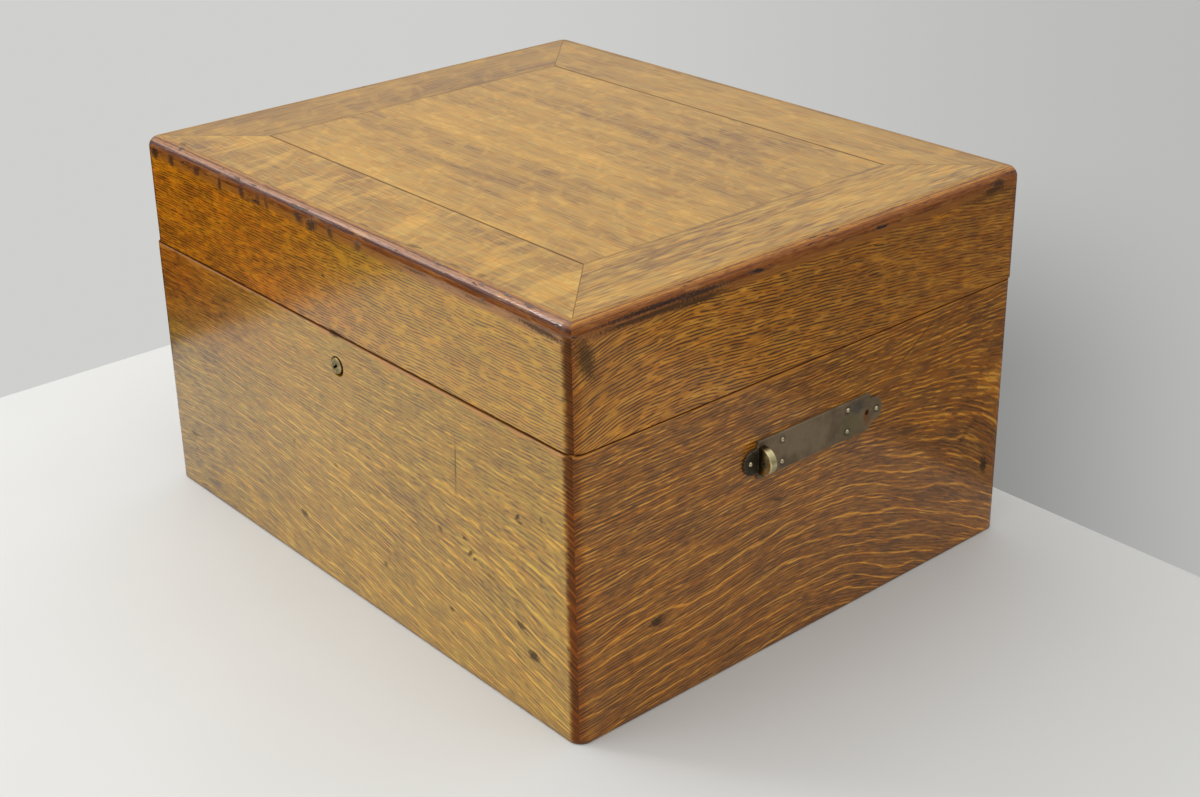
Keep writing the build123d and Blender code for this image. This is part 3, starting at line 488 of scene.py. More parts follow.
oakLooks = {
    "case_front_board": {
        **longBoard, "faces": (0.211, 0.196), "tones": "case", "seed": 1.3, "base": 0.465,
        "bend": [(-0.254, 0.0), (0.254, -0.078), (-0.15, 0.004), (-0.05, -0.012), (0.1, -0.044)],
        "rise": 0.1, "flat": (0.207, 0.0),
        "rays": [fineRays, midRays, {**boldRays, "fade": (0.185, 0.12)}, {**darkRays, "amount": -0.2}],
        "pores": finePores, "clouds": [(8.0, 22.0, 0.3), (22.0, 90.0, 0.34), (60.0, 340.0, 0.36)],
        # Old varnish at the left end, partly a painted warm reflection
        "amber": {"along": (-0.24, 0.0), "strength": 0.9, "least": 0.0, "low": (0.66, 0.66, 0.5),
                  "high": (0.78, 0.39, 0.06), "mottle": [(18.0, 60.0, 0.7), (70.0, 260.0, 0.9)]},
        "rim": 0.2040, "seam": (0.2062, 0.20695), "cool": 0.4, "foot": True,
        "marks": [
            (0.1355, 0.158, 0.0009, 0.02, -3, 0.6), (0.199, 0.1455, 0.0035, 0.0018, 60, 0.85),
            (0.2015, 0.1425, 0.0035, 0.0012, 0, 0.7),
            (0.223, 0.1535, 0.0017, 0.0024, 0, 0.6), (0.114, 0.102, 0.003, 0.0014, -30, 0.7),
            (0.141, 0.106, 0.0025, 0.0014, -20, 0.8), (0.147, 0.097, 0.0042, 0.0018, 40, 0.85),
            (0.152, 0.0945, 0.0022, 0.0012, 0, 0.8), (0.168, 0.089, 0.006, 0.0014, -12, 0.6),
            (0.198, 0.066, 0.0055, 0.0024, -8, 0.8), (0.2106, 0.0487, 0.0055, 0.004, 0, 0.9),
            (0.123, 0.043, 0.0032, 0.0018, 0, 0.7), (-0.061, 0.042, 0.0048, 0.003, 0, 0.7),
            (0.045, 0.0445, 0.003, 0.0022, 0, 0.7), (-0.0665, 0.0995, 0.0022, 0.002, 0, 0.5),
            (-0.011, 0.101, 0.003, 0.0016, 0, 0.5), (-0.222, 0.048, 0.0055, 0.0026, 0, 0.5),
            (0.062, 0.1216, 0.009, 0.0013, -4, 0.5), (0.0, 0.2066, 0.006, 0.0014, 0, 0.85),
        ],
        # Painted light on the lower front
        "lights": [(-0.17, 0.022, 0.012, 0.014, 0, 0.4), (-0.13, 0.024, 0.02, 0.006, -30, 0.4),
                   (-0.085, 0.012, 0.006, 0.012, 0, 0.4)],
    },
    "case_right_board": {
        **endBoard, "faces": (0.254, 0.239), "into": -1.0, "tones": "side", "seed": 4.6, "base": 0.47,
        "bend": [(-0.211, -0.012), (0.211, -0.07), (-0.1, -0.001), (0.0, 0.006), (0.1, -0.02)],
        "rise": 0.075, "flat": (0.207, 0.03), "coat": 0.5,
        "rays": [
            {**fineRays, "pitch": 0.0029, "length": 0.014, "amount": 0.44, "fade": (0.05, 0.14, 0.45, 1.0)},
            {**midRays, "amount": 0.26},
            {**boldRays, "pitch": 0.0105, "length": 0.06, "gaps": (0.36, 0.46), "amount": 0.5,
             "edge": (0.8, 1.0), "fade": (0.15, 0.085)},
            {**darkRays, "amount": -0.34, "fadeAlong": (-0.06, 0.12, 1.0, 0.2)},
        ],
        "pores": finePores, "clouds": [(8.0, 22.0, 0.26), (22.0, 90.0, 0.2), (50.0, 340.0, 0.46)],
        "lean": (-0.15, 0.15, -0.03), "rim": 0.2046, "seam": (0.2062, 0.2067), "foot": True,
        "marks": [
            (-0.1435, 0.0657, 0.0065, 0.0038, 8, 0.95), (0.19, 0.06, 0.0042, 0.0072, 20, 0.95),
            (-0.034, 0.1145, 0.0065, 0.0016, -18, 0.7), (0.1, 0.185, 0.03, 0.0011, 32, 0.5),
            (0.168, 0.097, 0.016, 0.003, 38, 0.35), (0.097, 0.119, 0.006, 0.004, 0, 0.3),
            (-0.013, 0.076, 0.004, 0.003, 0, 0.4), (-0.167, 0.0445, 0.003, 0.011, 5, 0.3),
            (-0.076, 0.015, 0.013, 0.0018, 10, 0.45),
        ],
        # Painted shade over the back half of the right face, strongest low down, and painted light near its
        # back corner and above the handle
        "paintedShades": [(0.12, 0.03, 0.11, 0.05, 12, 0.24), (0.10, 0.12, 0.12, 0.04, 0, 0.08),
                   (0.17, 0.10, 0.05, 0.035, 30, 0.16)],
        "lights": [(0.19, 0.13, 0.016, 0.010, 0, 0.6), (0.203, 0.124, 0.006, 0.014, 0, 0.6),
                   (-0.066, 0.165, 0.008, 0.003, 0, 0.5)],
    },
    "case_left_board": {
        **endBoard, **hiddenBoard, "faces": (0.254, 0.239), "seed": 8.2,
        "bend": [(-0.211, -0.03), (0.211, 0.01), (-0.1, -0.008), (0.01, 0.004), (0.11, 0.012)],
        "marks": [(0.12, 0.08, 0.005, 0.003, 0, 0.7), (-0.08, 0.03, 0.004, 0.003, 0, 0.6)],
    },
    "case_back_board": {
        **longBoard, **hiddenBoard, "faces": (0.211, 0.196), "into": -1.0, "seed": 12.9,
        "bend": [(-0.254, -0.03), (0.254, 0.01), (-0.1, 0.008), (0.01, 0.014), (0.11, 0.012)],
        "marks": [(0.16, 0.05, 0.006, 0.003, 0, 0.7), (-0.12, 0.12, 0.004, 0.002, 0, 0.6)],
    },
    "lid_front_rail": {
        **longBoard, "faces": (0.2095, 0.1955), "cornerPaintedTint": (0.30, 0.11, 0.045),
        "tones": "case", "seed": 16.4, "base": 0.71,
        "rays": [{**darkRays, "amount": -0.56}],
        "pores": [(90.0, 1300.0, 0.52, 0.66, 0.22), (34.0, 640.0, 0.58, 0.7, 0.18)],
        "clouds": [(9.0, 24.0, 0.32), (40.0, 130.0, 0.3), (90.0, 330.0, 0.5)],
        # Old varnish towards the left, partly a painted warm reflection
        "amber": {"along": (-0.10, 0.10), "strength": 0.92, "least": 0.16, "low": (0.95, 0.56, 0.05),
                  "high": (0.95, 0.56, 0.05),
                  "mottle": [(14.0, 40.0, 0.75), (60.0, 170.0, 0.5), (120.0, 330.0, 1.0)]},
        "seam": (0.2075, 0.2070), "cool": 0.25,
        "strip": (0.2760, 0.2800), "stripColor": (0.34, 0.115, 0.014), "chips": (0.58, 0.68),
        "marks": [
            (0.0, 0.2072, 0.0085, 0.0018, 0, 0.95), (-0.01, 0.247, 0.0018, 0.0014, 0, 0.85),
            (0.225, 0.2815, 0.024, 0.0022, -4, 0.85), (0.165, 0.2825, 0.016, 0.0016, 0, 0.6),
            (0.1, 0.2825, 0.014, 0.0016, 0, 0.7), *frontChips,
        ],
    },
    "lid_right_rail": {
        **endBoard, "faces": (0.254, 0.24), "into": -1.0, "tones": "side", "seed": 19.7, "base": 0.76,
        "bend": [(-0.211, -0.012), (0.211, -0.03), (-0.13, 0.005), (-0.05, 0.0), (0.08, -0.012)],
        "rise": 0.04, "flat": (0.2, 0.21), "coat": 0.5,
        "rays": [{**darkRays, "pitch": 0.0023, "amount": -0.66, "fadeAlong": (-0.05, 0.14, 1.0, 0.5)}],
        "pores": railPores, "lean": (-0.15, 0.1, -0.05),
        "clouds": [(9.0, 24.0, 0.24), (40.0, 130.0, 0.3), (70.0, 300.0, 0.66)],
        "seam": (0.2079, 0.2074), "strip": (0.2765, 0.2800), "stripColor": (0.32, 0.105, 0.016),
        "chips": (0.64, 0.74),
        "marks": [
            (-0.14, 0.2815, 0.052, 0.0022, 0, 0.85), (-0.106, 0.2795, 0.024, 0.0022, 0, 0.85),
            (-0.198, 0.268, 0.006, 0.016, 14, 0.75), (0.18, 0.2815, 0.012, 0.003, 0, 0.8),
            (0.175, 0.278, 0.03, 0.0018, 0, 0.5),
        ],
    },
    "lid_left_rail": {**endBoard, **hiddenRail, "faces": (0.254, 0.24), "seed": 23.1},
    "lid_back_rail": {**longBoard, **hiddenRail, "faces": (0.2125, 0.1985), "into": -1.0, "seed": 26.8},
}

# The lid's top: four mitred borders round a panel
topRays = {**fineRays, "pitch": 0.0034, "length": 0.02, "amount": 0.14}
topPores = [(48.0, 900.0, 0.5, 0.66, 0.24), (22.0, 420.0, 0.56, 0.7, 0.2)]
panelLines = [("Y", 0.141, 0.0012, 0.85), ("X", 0.184, 0.0016, 0.32)]
frontLines = [("Y", 0.141, 0.0012, 0.85), ("Y", 0.202, 0.0009, 0.5)]
endLines = [("X", 0.184, 0.0016, 0.32), ("X", 0.245, 0.0009, 0.4)]
topLooks = {
    "lid_centre_panel": {
        "axes": "XYZ", "lines": panelLines, "base": 0.47,
        "clouds": [(7.0, 62.0, 0.8), (5.0, 13.0, 0.9), (22.0, 100.0, 0.5)],
        "flakes": [(95.0, 28.0, 0.3, 0.5, 0.62, 0.42, 0.03, -0.04), (70.0, 70.0, 0.35, 0.5, 0.66, 0.2)],
    },
    "lid_border_front": {
        "axes": "XYZ", "lines": frontLines, "base": 0.42,
        "clouds": [(7.0, 20.0, 0.9), (9.0, 60.0, 0.3), (40.0, 170.0, 0.4)],
        "flakes": [(66.0, 18.0, 0.14, 0.5, 0.63, 0.3), (150.0, 60.0, 0.2, 0.5, 0.66, 0.2)],
        "marks": [(0.03, -0.1995, 0.006, 0.0016, 0, 0.5), (0.085, -0.1985, 0.008, 0.0022, 10, 0.6),
                  (0.13, -0.1995, 0.006, 0.0016, 0, 0.5), (0.155, -0.1975, 0.004, 0.003, 0, 0.5),
                  (-0.212, -0.1985, 0.005, 0.0022, 0, 0.6), (-0.09, -0.1995, 0.004, 0.0014, 0, 0.4)],
    },
    "lid_border_back": {
        "axes": "XYZ", "lines": frontLines, "base": 0.41,
        "clouds": [(6.0, 24.0, 0.8), (14.0, 60.0, 0.5), (40.0, 160.0, 0.2)],
        "flakes": [(45.0, 50.0, -0.4, 0.5, 0.66, 0.18)],
    },
    "lid_border_left": {
        "axes": "YXZ", "lines": endLines, "base": 0.32,
        "clouds": [(8.0, 24.0, 0.7), (30.0, 110.0, 0.3)],
        "flakes": [(60.0, 30.0, 0.4, 0.5, 0.66, 0.16)],
    },
    "lid_border_right": {
        "axes": "YXZ", "lines": endLines, "base": 0.36,
        "clouds": [(5.0, 26.0, 0.8), (12.0, 90.0, 0.5), (60.0, 400.0, 1.1)],
        "flakes": [(36.0, 220.0, 0.0, 0.5, 0.64, 0.26)],
    },
}
for index, (name, look) in enumerate(topLooks.items()):
    # The top's middle lies 1.5 mm back, and along its mitres x is 43 mm more than y
    mitre = 0.0 if "panel" in name else 0.65
    oakLooks[name] = {
        "tones": "top", "seed": 31.0 + 3.7 * index, "rays": [topRays], "pores": topPores, **look,
        "joints": {"shift": 0.0015, "apart": 0.043, "mitre": mitre, "lines": look["lines"]},
    }

for name, look in oakLooks.items():
    paint(name, oakFinish("oak " + name, look))
print("oak boards finished:", len(oakLooks))


# Boards that nobody polished: inside the chest and under it

plainRays = {**fineRays, "pitch": 0.0042, "length": 0.03, "amount": 0.12}
plainPores = [(60.0, 1100.0, 0.53, 0.66, 0.2), (30.0, 560.0, 0.58, 0.7, 0.16)]
plainBoards = [
    ("bottom_panel", "XYZ"), ("tray_bearer_left", "YZX"), ("tray_bearer_right", "YZX"),
    ("well_divider_long", "XZY"), ("well_divider_cross", "YZX"), ("tray_front_board", "XZY"),
    ("tray_back_board", "XZY"), ("tray_left_board", "YZX"), ("tray_right_board", "YZX"),
    ("tray_bottom", "XYZ"), ("tray_long_divider", "XZY"), ("tray_cross_dividers", "YZX"),
    ("case_mitre_tongues", "ZXY"), ("lid_mitre_tongues", "ZXY"),
]
for index, (name, axes) in enumerate(plainBoards):
    look = {
        "tones": "inside", "axes": axes, "seed": 60.0 + 2.9 * index, "base": 0.5, "rays": [plainRays],
        "pores": plainPores, "clouds": [(8.0, 40.0, 0.45), (50.0, 240.0, 0.25)], "polished": False,
    }
    paint(name, oakFinish("plain " + name, look))
print("plain boards finished:", len(plainBoards))


# Edging: golden like the top on its flat, red-brown and glossy on its round, chipped here and there.
# Its bands run from the joint on the top (0) round to the joint on the side (1), with painted shade and
# highlight among them.

sideFrom = 0.301  # a point of the front lies this far round, less its height
edging = {
    "inner": (0.245, 0.202), "shift": 0.0015, "top": 0.292, "around": 0.018,
    # At the front, the dark band from 0.54 to 0.68 is painted shade on the lower round
    "front": [(0.0, (0.56, 0.28, 0.035)), (0.18, (0.54, 0.25, 0.03)), (0.20, (0.16, 0.042, 0.010)),
              (0.25, (0.18, 0.05, 0.012)), (0.29, (0.44, 0.19, 0.06)), (0.50, (0.36, 0.135, 0.04)),
              (0.54, (0.12, 0.022, 0.006)), (0.68, (0.09, 0.018, 0.005)), (0.73, (0.28, 0.085, 0.012)),
              (1.0, (0.33, 0.11, 0.014))],
    # On the other sides, the orange band from 0.28 to 0.42 is a painted highlight on the upper round
    "side": [(0.0, (0.56, 0.29, 0.035)), (0.2, (0.56, 0.28, 0.035)), (0.22, (0.22, 0.065, 0.014)),
             (0.25, (0.26, 0.085, 0.018)), (0.28, (0.62, 0.27, 0.035)), (0.42, (0.58, 0.23, 0.03)),
             (0.47, (0.42, 0.135, 0.016)), (0.75, (0.36, 0.11, 0.013)), (1.0, (0.32, 0.105, 0.016))],
    "wear": (0.56, 0.26, 0.06), "chip": (0.035, 0.016, 0.01), "streakTint": (0.45, 0.34, 0.26),
    "dashTint": (0.4, 0.3, 0.2), "waver": 0.09, "streaky": 0.07, "relief": 0.0004,
    "streaks": (22.0, 620.0), "waves": (60.0, 200.0), "dashes": (120.0, 1300.0), "spots": (40.0, 160.0),
    "marks": {
        "front": [(-0.205, 0.0045, 0.003, 0.003, 0, 0.8), (0.21, 0.0055, 0.004, 0.0012, 0, 0.9),
                  (0.19, 0.0050, 0.005, 0.0010, 0, 0.9), (0.165, 0.0055, 0.003, 0.0012, 0, 0.8),
                  (0.12, 0.0045, 0.005, 0.0012, 0, 0.7),
                  *((x, sideFrom - z, *halves, -lean, depth) for x, z, *halves, lean, depth in frontChips)],
        "right": [(-0.140, 0.0150, 0.048, 0.0020, 0, 0.9), (-0.104, 0.0165, 0.022, 0.002, 0, 0.9),
                  (0.0, 0.0045, 0.004, 0.0010, 0, 0.8), (0.02, 0.0050, 0.005, 0.0012, 0, 0.7),
                  (-0.045, 0.0150, 0.002, 0.001, 0, 0.5), (0.185, 0.0155, 0.006, 0.003, 0, 0.8)],
    },
}


def edgingFinish(name, run, seed):
    material, shader = newFinish("edging " + name)
    axes = split(objectPlace())
    along = axes[run]
    outX = minus(absolute(axes["X"]), edging["inner"][0])
    outY = minus(absolute(minus(axes["Y"], edging["shift"])), edging["inner"][1])
    around = plus(larger(outX, outY), minus(edging["top"], axes["Z"]))

    def placeOf(kind, layer):
        scaleAlong, scaleAround = edging[kind]
        return stretch(along, scaleAlong, around, scaleAround, seed + layer)

    streaks = noise(placeOf("streaks", 0.0), 3.0)
    wavy = minus(noise(placeOf("waves", 3.0)), 0.5)
    place = timesPlus(streaks, edging["streaky"], remap(around, 0.0, edging["around"]))
    place = timesPlus(wavy, edging["waver"], minus(place, edging["streaky"] / 2))
    color = ramp(place, edging["front" if name == "front" else "side"])
    color = blendColor(remap(streaks, 0.6, 0.38, 0.0, 0.8), color, edging["streakTint"], "MULTIPLY")
    # Open grain, in short dashes along the strip
    dashes = noise(placeOf("dashes", 9.0), 1.0)
    color = blendColor(remap(dashes, 0.52, 0.64, 0.0, 0.7), color, edging["dashTint"], "MULTIPLY")
    spots = noise(placeOf("spots", 5.0), 3.0, 0.6)
    color = blendColor(remap(spots, 0.56, 0.7, 0.0, 0.5), color, edging["wear"])
    # Nicks along the round and, at the front, in the rubbed band below it
    chips = times(remap(spots, 0.37, 0.33), remap(place, 0.2, 0.28))
    if name in edging["marks"]:
        chips = larger(chips, markMask(along, around, edging["marks"][name]))
    relief = bump(timesPlus(chips, -2.0, streaks), 0.5, edging["relief"])
    plug(shader, {
        "Base Color": blendColor(chips, color, edging["chip"]),
        "Roughness": remap(streaks, 0.3, 0.7, 0.35, 0.5),
        "Specular IOR Level": 0.35,
        "Specular Tint": (1.0, 0.55, 0.3, 1.0),
        "Coat Weight": 0.9 if name == "front" else 0.55,
        "Coat Roughness": 0.1,
        "Coat IOR": 1.48,
        "Normal": relief,
        "Coat Normal": relief,
    })
    return material


for name, run, seed in [("front", "X", 2.0), ("back", "X", 9.0), ("left", "Y", 15.0), ("right", "Y", 22.0)]:
    paint("lid_edging_" + name, edgingFinish(name, run, seed))
print("edging finished")


# Metal fittings, tarnished in patches and rubbed bright along their edges

metalUsual = {"edge": 0.6, "metal": 1.0, "brushed": 0.1}  # where a look below says nothing else
metalGrain = {"brush": (900.0, 60.0, 2600.0), "speck": 1400.0, "speckRough": 0.08, "edge": 0.0006,
              "deep": 0.0001}
metalLooks = {
    "bronzed plate": {
        "nodes": ["right_handle_plate", "left_handle_plate"],
        "dark": (0.152, 0.105, 0.060), "pale": (0.245, 0.175, 0.100), "worn": (0.36, 0.28, 0.17), "edge": 0.4,
        "metal": 0.55, "rough": (0.42, 0.6), "patches": 45.0, "brushed": 0.12,
    },
    "bronzed lug": {
        "nodes": ["right_handle_lug", "left_handle_front_lug", "left_handle_rear_lug"],
        "dark": (0.065, 0.046, 0.016), "pale": (0.12, 0.088, 0.03), "worn": (0.98, 0.85, 0.46), "edge": 1.0,
        "metal": 0.9, "rough": (0.16, 0.32), "patches": 90.0, "rubbedFrom": (0.2585, 0.2640),
    },
    "bronzed bail": {
        "nodes": ["left_handle_bail"],
        "dark": (0.10, 0.07, 0.035), "pale": (0.30, 0.23, 0.11), "worn": (0.55, 0.44, 0.22), "edge": 0.4,
        "metal": 0.9, "rough": (0.28, 0.5), "patches": 40.0, "brushed": 0.15,
    },
    "pin heads": {
        "nodes": ["handle_pins"],
        "dark": (0.34, 0.28, 0.16), "pale": (0.66, 0.57, 0.36), "worn": (0.85, 0.76, 0.52), "edge": 0.5,
        "rough": (0.2, 0.34), "patches": 300.0, "brushed": 0.0,
    },
    "lock nozzle": {
        "nodes": ["lock_nozzle"],
        "dark": (0.24, 0.175, 0.07), "pale": (0.50, 0.39, 0.18), "worn": (0.90, 0.76, 0.40), "edge": 0.9,
        "rough": (0.26, 0.42), "patches": 260.0,
    },
    "lock plug": {
        "nodes": ["lock_plug"],
        "dark": (0.22, 0.17, 0.085), "pale": (0.40, 0.32, 0.17), "worn": (0.72, 0.6, 0.34), "edge": 0.5,
        "metal": 0.9, "rough": (0.34, 0.5), "patches": 260.0, "grime": -0.2107,
    },
    "lock brass": {
        "nodes": ["lock_plate", "lock_cap", "lock_cam", "lock_bolt", "lock_link_plate"],
        "dark": (0.30, 0.20, 0.07), "pale": (0.62, 0.45, 0.18), "worn": (0.80, 0.64, 0.32),
        "rough": (0.28, 0.46), "patches": 45.0, "brushed": 0.3,
    },
    "hinge brass": {
        "nodes": ["left_hinge_case_leaf", "right_hinge_case_leaf", "left_hinge_lid_leaf",
                  "right_hinge_lid_leaf", "hinge_pins"],
        "dark": (0.24, 0.16, 0.06), "pale": (0.55, 0.40, 0.16), "worn": (0.78, 0.62, 0.30),
        "rough": (0.3, 0.5), "patches": 60.0, "brushed": 0.3,
    },
    "brass screws": {
        "nodes": ["lock_screws", "lid_screws", "hinge_case_screws"],
        "dark": (0.28, 0.20, 0.08), "pale": (0.60, 0.45, 0.20), "worn": (0.8, 0.66, 0.36),
        "rough": (0.25, 0.4), "patches": 180.0,
    },
    "steel screws": {
        "nodes": ["bottom_screws"],
        "dark": (0.10, 0.085, 0.075), "pale": (0.32, 0.30, 0.28), "worn": (0.55, 0.54, 0.52),
        "rough": (0.3, 0.55), "patches": 180.0,
    },
}


def metalFinish(name, ownLook):
    look = {**metalUsual, **ownLook}
    material, shader = newFinish(name)
    place = objectPlace()
    axes = split(place)
    patch = noise(place, 4.0, 0.6, scale=look["patches"])
    brush = addNode("VectorMath", {0: place, 1: metalGrain["brush"]}, operation="MULTIPLY").outputs[0]
    grain = noise(brush)
    speck = noise(place, scale=metalGrain["speck"])
    tone = timesPlus(minus(grain, 0.5), look["brushed"], patch)
    color = blendColor(remap(tone, 0.35, 0.65, smooth=True), look["dark"], look["pale"])
    # The edges are rubbed where a rounded normal leaves the flat one
    rounded = addNode("Bevel", {"Radius": metalGrain["edge"]}, samples=4).outputs["Normal"]
    flat = addNode("NewGeometry").outputs["Normal"]
    turn = addNode("VectorMath", {0: rounded, 1: flat}, operation="DOT_PRODUCT").outputs["Value"]
    rubbed = times(remap(turn, 0.995, 0.9), remap(patch, 0.25, 0.6, 0.3, 1.0))
    color = blendColor(times(rubbed, look["edge"]), color, look["worn"])
    if "rubbedFrom" in look:
        # Hands have rubbed what stands out most
        reach = remap(absolute(axes["X"]), *look["rubbedFrom"], 0.0, 0.85, True)
        color = blendColor(times(reach, remap(patch, 0.3, 0.6, 0.5, 1.0)), color, look["worn"])
    if "grime" in look:
        # Painted shade: black inside the keyhole
        inside = remap(axes["Y"], look["grime"], look["grime"] + 0.0003)
        color = blendColor(inside, color, (0.006, 0.005, 0.004))
    for marks, stain in look.get("stains", []):
        color = blendColor(markMask(axes["Y"], axes["Z"], marks), color, stain)
    smoothest, roughest = look["rough"]
    plug(shader, {
        "Base Color": color,
        "Roughness": timesPlus(speck, metalGrain["speckRough"], remap(tone, 0.3, 0.7, roughest, smoothest)),
        "Metallic": look["metal"],
        "Normal": bump(plus(grain, speck), 0.12, metalGrain["deep"]),
    })
    return material


for name, look in metalLooks.items():
    finish = metalFinish(name, look)
    for node in look["nodes"]:
        paint(node, finish)

# The right plate keeps the green bloom and the rust round its empty rivet hole; painted shade rings its pins,
# and a painted shadow of the lug lies on its front end
pinPlaces = [(-0.0615, 0.0), (0.0615, 0.0), (-0.032, 0.0081), (-0.032, -0.0081), (0.032, 0.0081),
             (0.032, -0.0081)]
plateMiddle = 0.151
rightPlate = {
    **metalLooks["bronzed plate"],
    "stains": [
        ([(0.036, 0.147, 0.012, 0.010, 0, 0.5)], (0.17, 0.15, 0.055)),
        ([(0.0515, 0.147, 0.0035, 0.006, 0, 0.85)], (0.22, 0.085, 0.02)),
        ([(0.042, 0.158, 0.007, 0.005, 0, 0.6), (0.06, 0.163, 0.006, 0.004, 0, 0.6)], (0.05, 0.055, 0.055)),
        # Painted shade round the pin heads
        ([(y, plateMiddle + z, 0.0032, 0.0032, 0, 0.7) for y, z in pinPlaces], (0.045, 0.036, 0.026)),
        # Painted shadow of the lug on the plate's front end
        ([(-0.060, 0.150, 0.011, 0.013, 0, 0.95)], (0.030, 0.022, 0.010)),
    ],
}
paint("right_handle_plate", metalFinish("bronzed plate right", rightPlate))
print("metal finished:", sum(len(look["nodes"]) for look in metalLooks.values()))


# Cloth, velvet and leather

def clothFinish(name, look):
    material, shader = newFinish(name)
    place = objectPlace()
    fibre = noise(place, 3.0, 0.7, scale=look["fibre"])
    patch = noise(place, 3.0, 0.55, scale=look["patches"])
    lint = noise(place, 1.0, scale=420.0)
    tone = timesPlus(fibre, 0.55, times(patch, 0.45))
    color = blendColor(remap(tone, 0.32, 0.68, smooth=True), look["dark"], look["pale"])
    plug(shader, {
        "Base Color": blendColor(remap(lint, 0.74, 0.8, 0.0, 0.35), color, look["lint"]),
        "Roughness": 0.95,
        "Specular IOR Level": 0.12,
        "Sheen Weight": look["sheen"],
        "Sheen Roughness": 0.4,
        "Sheen Tint": (*look["sheenColor"], 1.0),
        "Normal": bump(fibre, 0.5, look["depth"]),
    })
    return material


baize = clothFinish("green baize", {
    "dark": (0.012, 0.05, 0.026), "pale": (0.035, 0.11, 0.06), "lint": (0.12, 0.17, 0.12), "fibre": 1500.0,
    "patches": 22.0, "sheen": 0.25, "sheenColor": (0.55, 0.8, 0.62), "depth": 0.0003,
})
velvet = clothFinish("green velvet", {
    "dark": (0.006, 0.032, 0.017), "pale": (0.022, 0.085, 0.045), "lint": (0.08, 0.13, 0.09), "fibre": 2600.0,
    "patches": 14.0, "sheen": 0.8, "sheenColor": (0.5, 0.85, 0.62), "depth": 0.0002,
})


def newPiece(name, shape, finish, body, node):
    mesh = bpy.data.meshes.new(name)
    bmesh.ops.recalc_face_normals(shape, faces=shape.faces)
    shape.to_mesh(mesh)
    shape.free()
    mesh.polygons.foreach_set("use_smooth", [True] * len(mesh.polygons))
    mesh.materials.append(finish)
    piece = bpy.data.objects.new(name, mesh)
    bpy.context.scene.collection.objects.link(piece)
    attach(piece, body)
    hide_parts(node)
    return piece


def thicken(piece, depth, offset):
    wall = piece.modifiers.new("thickness", "SOLIDIFY")
    wall.thickness = depth
    wall.offset = offset


def resize(shape, scale):
    bmesh.ops.scale(shape, vec=scale, verts=shape.verts)


def move(shape, offset):
    bmesh.ops.translate(shape, vec=offset, verts=shape.verts)


def soften(shape, parts, offset, segments, affect="EDGES"):
    bmesh.ops.bevel(shape, geom=parts, offset=offset, segments=segments, profile=0.5, affect=affect,
                    material=-1)


def addRod(shape, sides, radius, length):
    bmesh.ops.create_cone(shape, cap_ends=True, segments=sides, radius1=radius, radius2=radius, depth=length)


def everything(shape):
    return shape.verts[:] + shape.edges[:] + shape.faces[:]


def cutEvenly(shape, axis, low, high, count):
    # Cuts a shape into slices of one width, so that it can bend there
    normal = [0.0, 0.0, 0.0]
    normal[axis] = 1.0
    for step in range(1, count):
        spot = [0.0, 0.0, 0.0]
        spot[axis] = low + (high - low) * step / count
        bmesh.ops.bisect_plane(shape, geom=everything(shape), plane_co=spot, plane_no=normal)


def boundary(shape):
    return [edge for edge in shape.edges if edge.is_boundary]


def ofKind(items, kind):
    return [item for item in items if isinstance(item, kind)]


def ripple(x, y, scale):
    # Gentle unevenness of glued cloth, from -1 to 1
    return (math.sin(x * scale + 1.7 * math.sin(y * scale * 0.7)) * math.sin(y * scale * 0.8 + 2.0)
            + 0.5 * math.sin(x * scale * 2.3 + y * scale * 1.9)) / 1.5


# One sheet of baize glued into the well, over its floor and up its four walls
wellCloth = {"half": (0.2389, 0.1959), "low": 0.0091, "high": 0.144, "thick": 0.0009, "corner": 0.004,
             "flat": (0.746, 0.660), "area": 0.42054, "ripple": 0.00012, "waves": 38.0, "cuts": (30, 24, 9)}


def makeWellCloth():
    shape = bmesh.new()
    bmesh.ops.create_cube(shape, size=1.0)
    tall = wellCloth["high"] - wellCloth["low"]
    resize(shape, (2 * wellCloth["half"][0], 2 * wellCloth["half"][1], tall))
    move(shape, (0, 0, wellCloth["low"] + tall / 2))
    top = [face for face in shape.faces if face.normal.z > 0.9]
    bmesh.ops.delete(shape, geom=top, context="FACES_ONLY")
    inner = [edge for edge in shape.edges if not edge.is_boundary]
    soften(shape, inner, wellCloth["corner"], 3)
    long, wide = wellCloth["half"]
    ends = ((-long, long), (-wide, wide), (wellCloth["low"], wellCloth["high"]))
    for axis, (low, high) in enumerate(ends):
        cutEvenly(shape, axis, low, high, wellCloth["cuts"][axis])
    shape.normal_update()
    for vert in shape.verts:
        lift = (ripple(vert.co.x, vert.co.y + vert.co.z, wellCloth["waves"]) + 1.0) / 2 * wellCloth["ripple"]
        vert.co -= vert.normal * lift
    piece = newPiece("well_lining_cloth", shape, baize, "case", "well_lining")
    thicken(piece, wellCloth["thick"], -1.0)


# The tray's baize lies flat under its dividers
trayCloth = {"size": (0.459, 0.370), "low": 0.1610, "thick": 0.0009, "ripple": 0.00008, "waves": 60.0}


def makeTrayCloth():
    shape = bmesh.new()
    bmesh.ops.create_grid(shape, x_segments=46, y_segments=37, size=0.5)
    resize(shape, (*trayCloth["size"], 1.0))
    for vert in shape.verts:
        lift = (ripple(vert.co.x, vert.co.y, trayCloth["waves"]) + 1.0) / 2 * trayCloth["ripple"]
        vert.co.z = trayCloth["low"] + lift
    piece = newPiece("tray_lining_cloth", shape, baize, "tray", "tray_lining")
    thicken(piece, trayCloth["thick"], 1.0)


swellFrames = 20


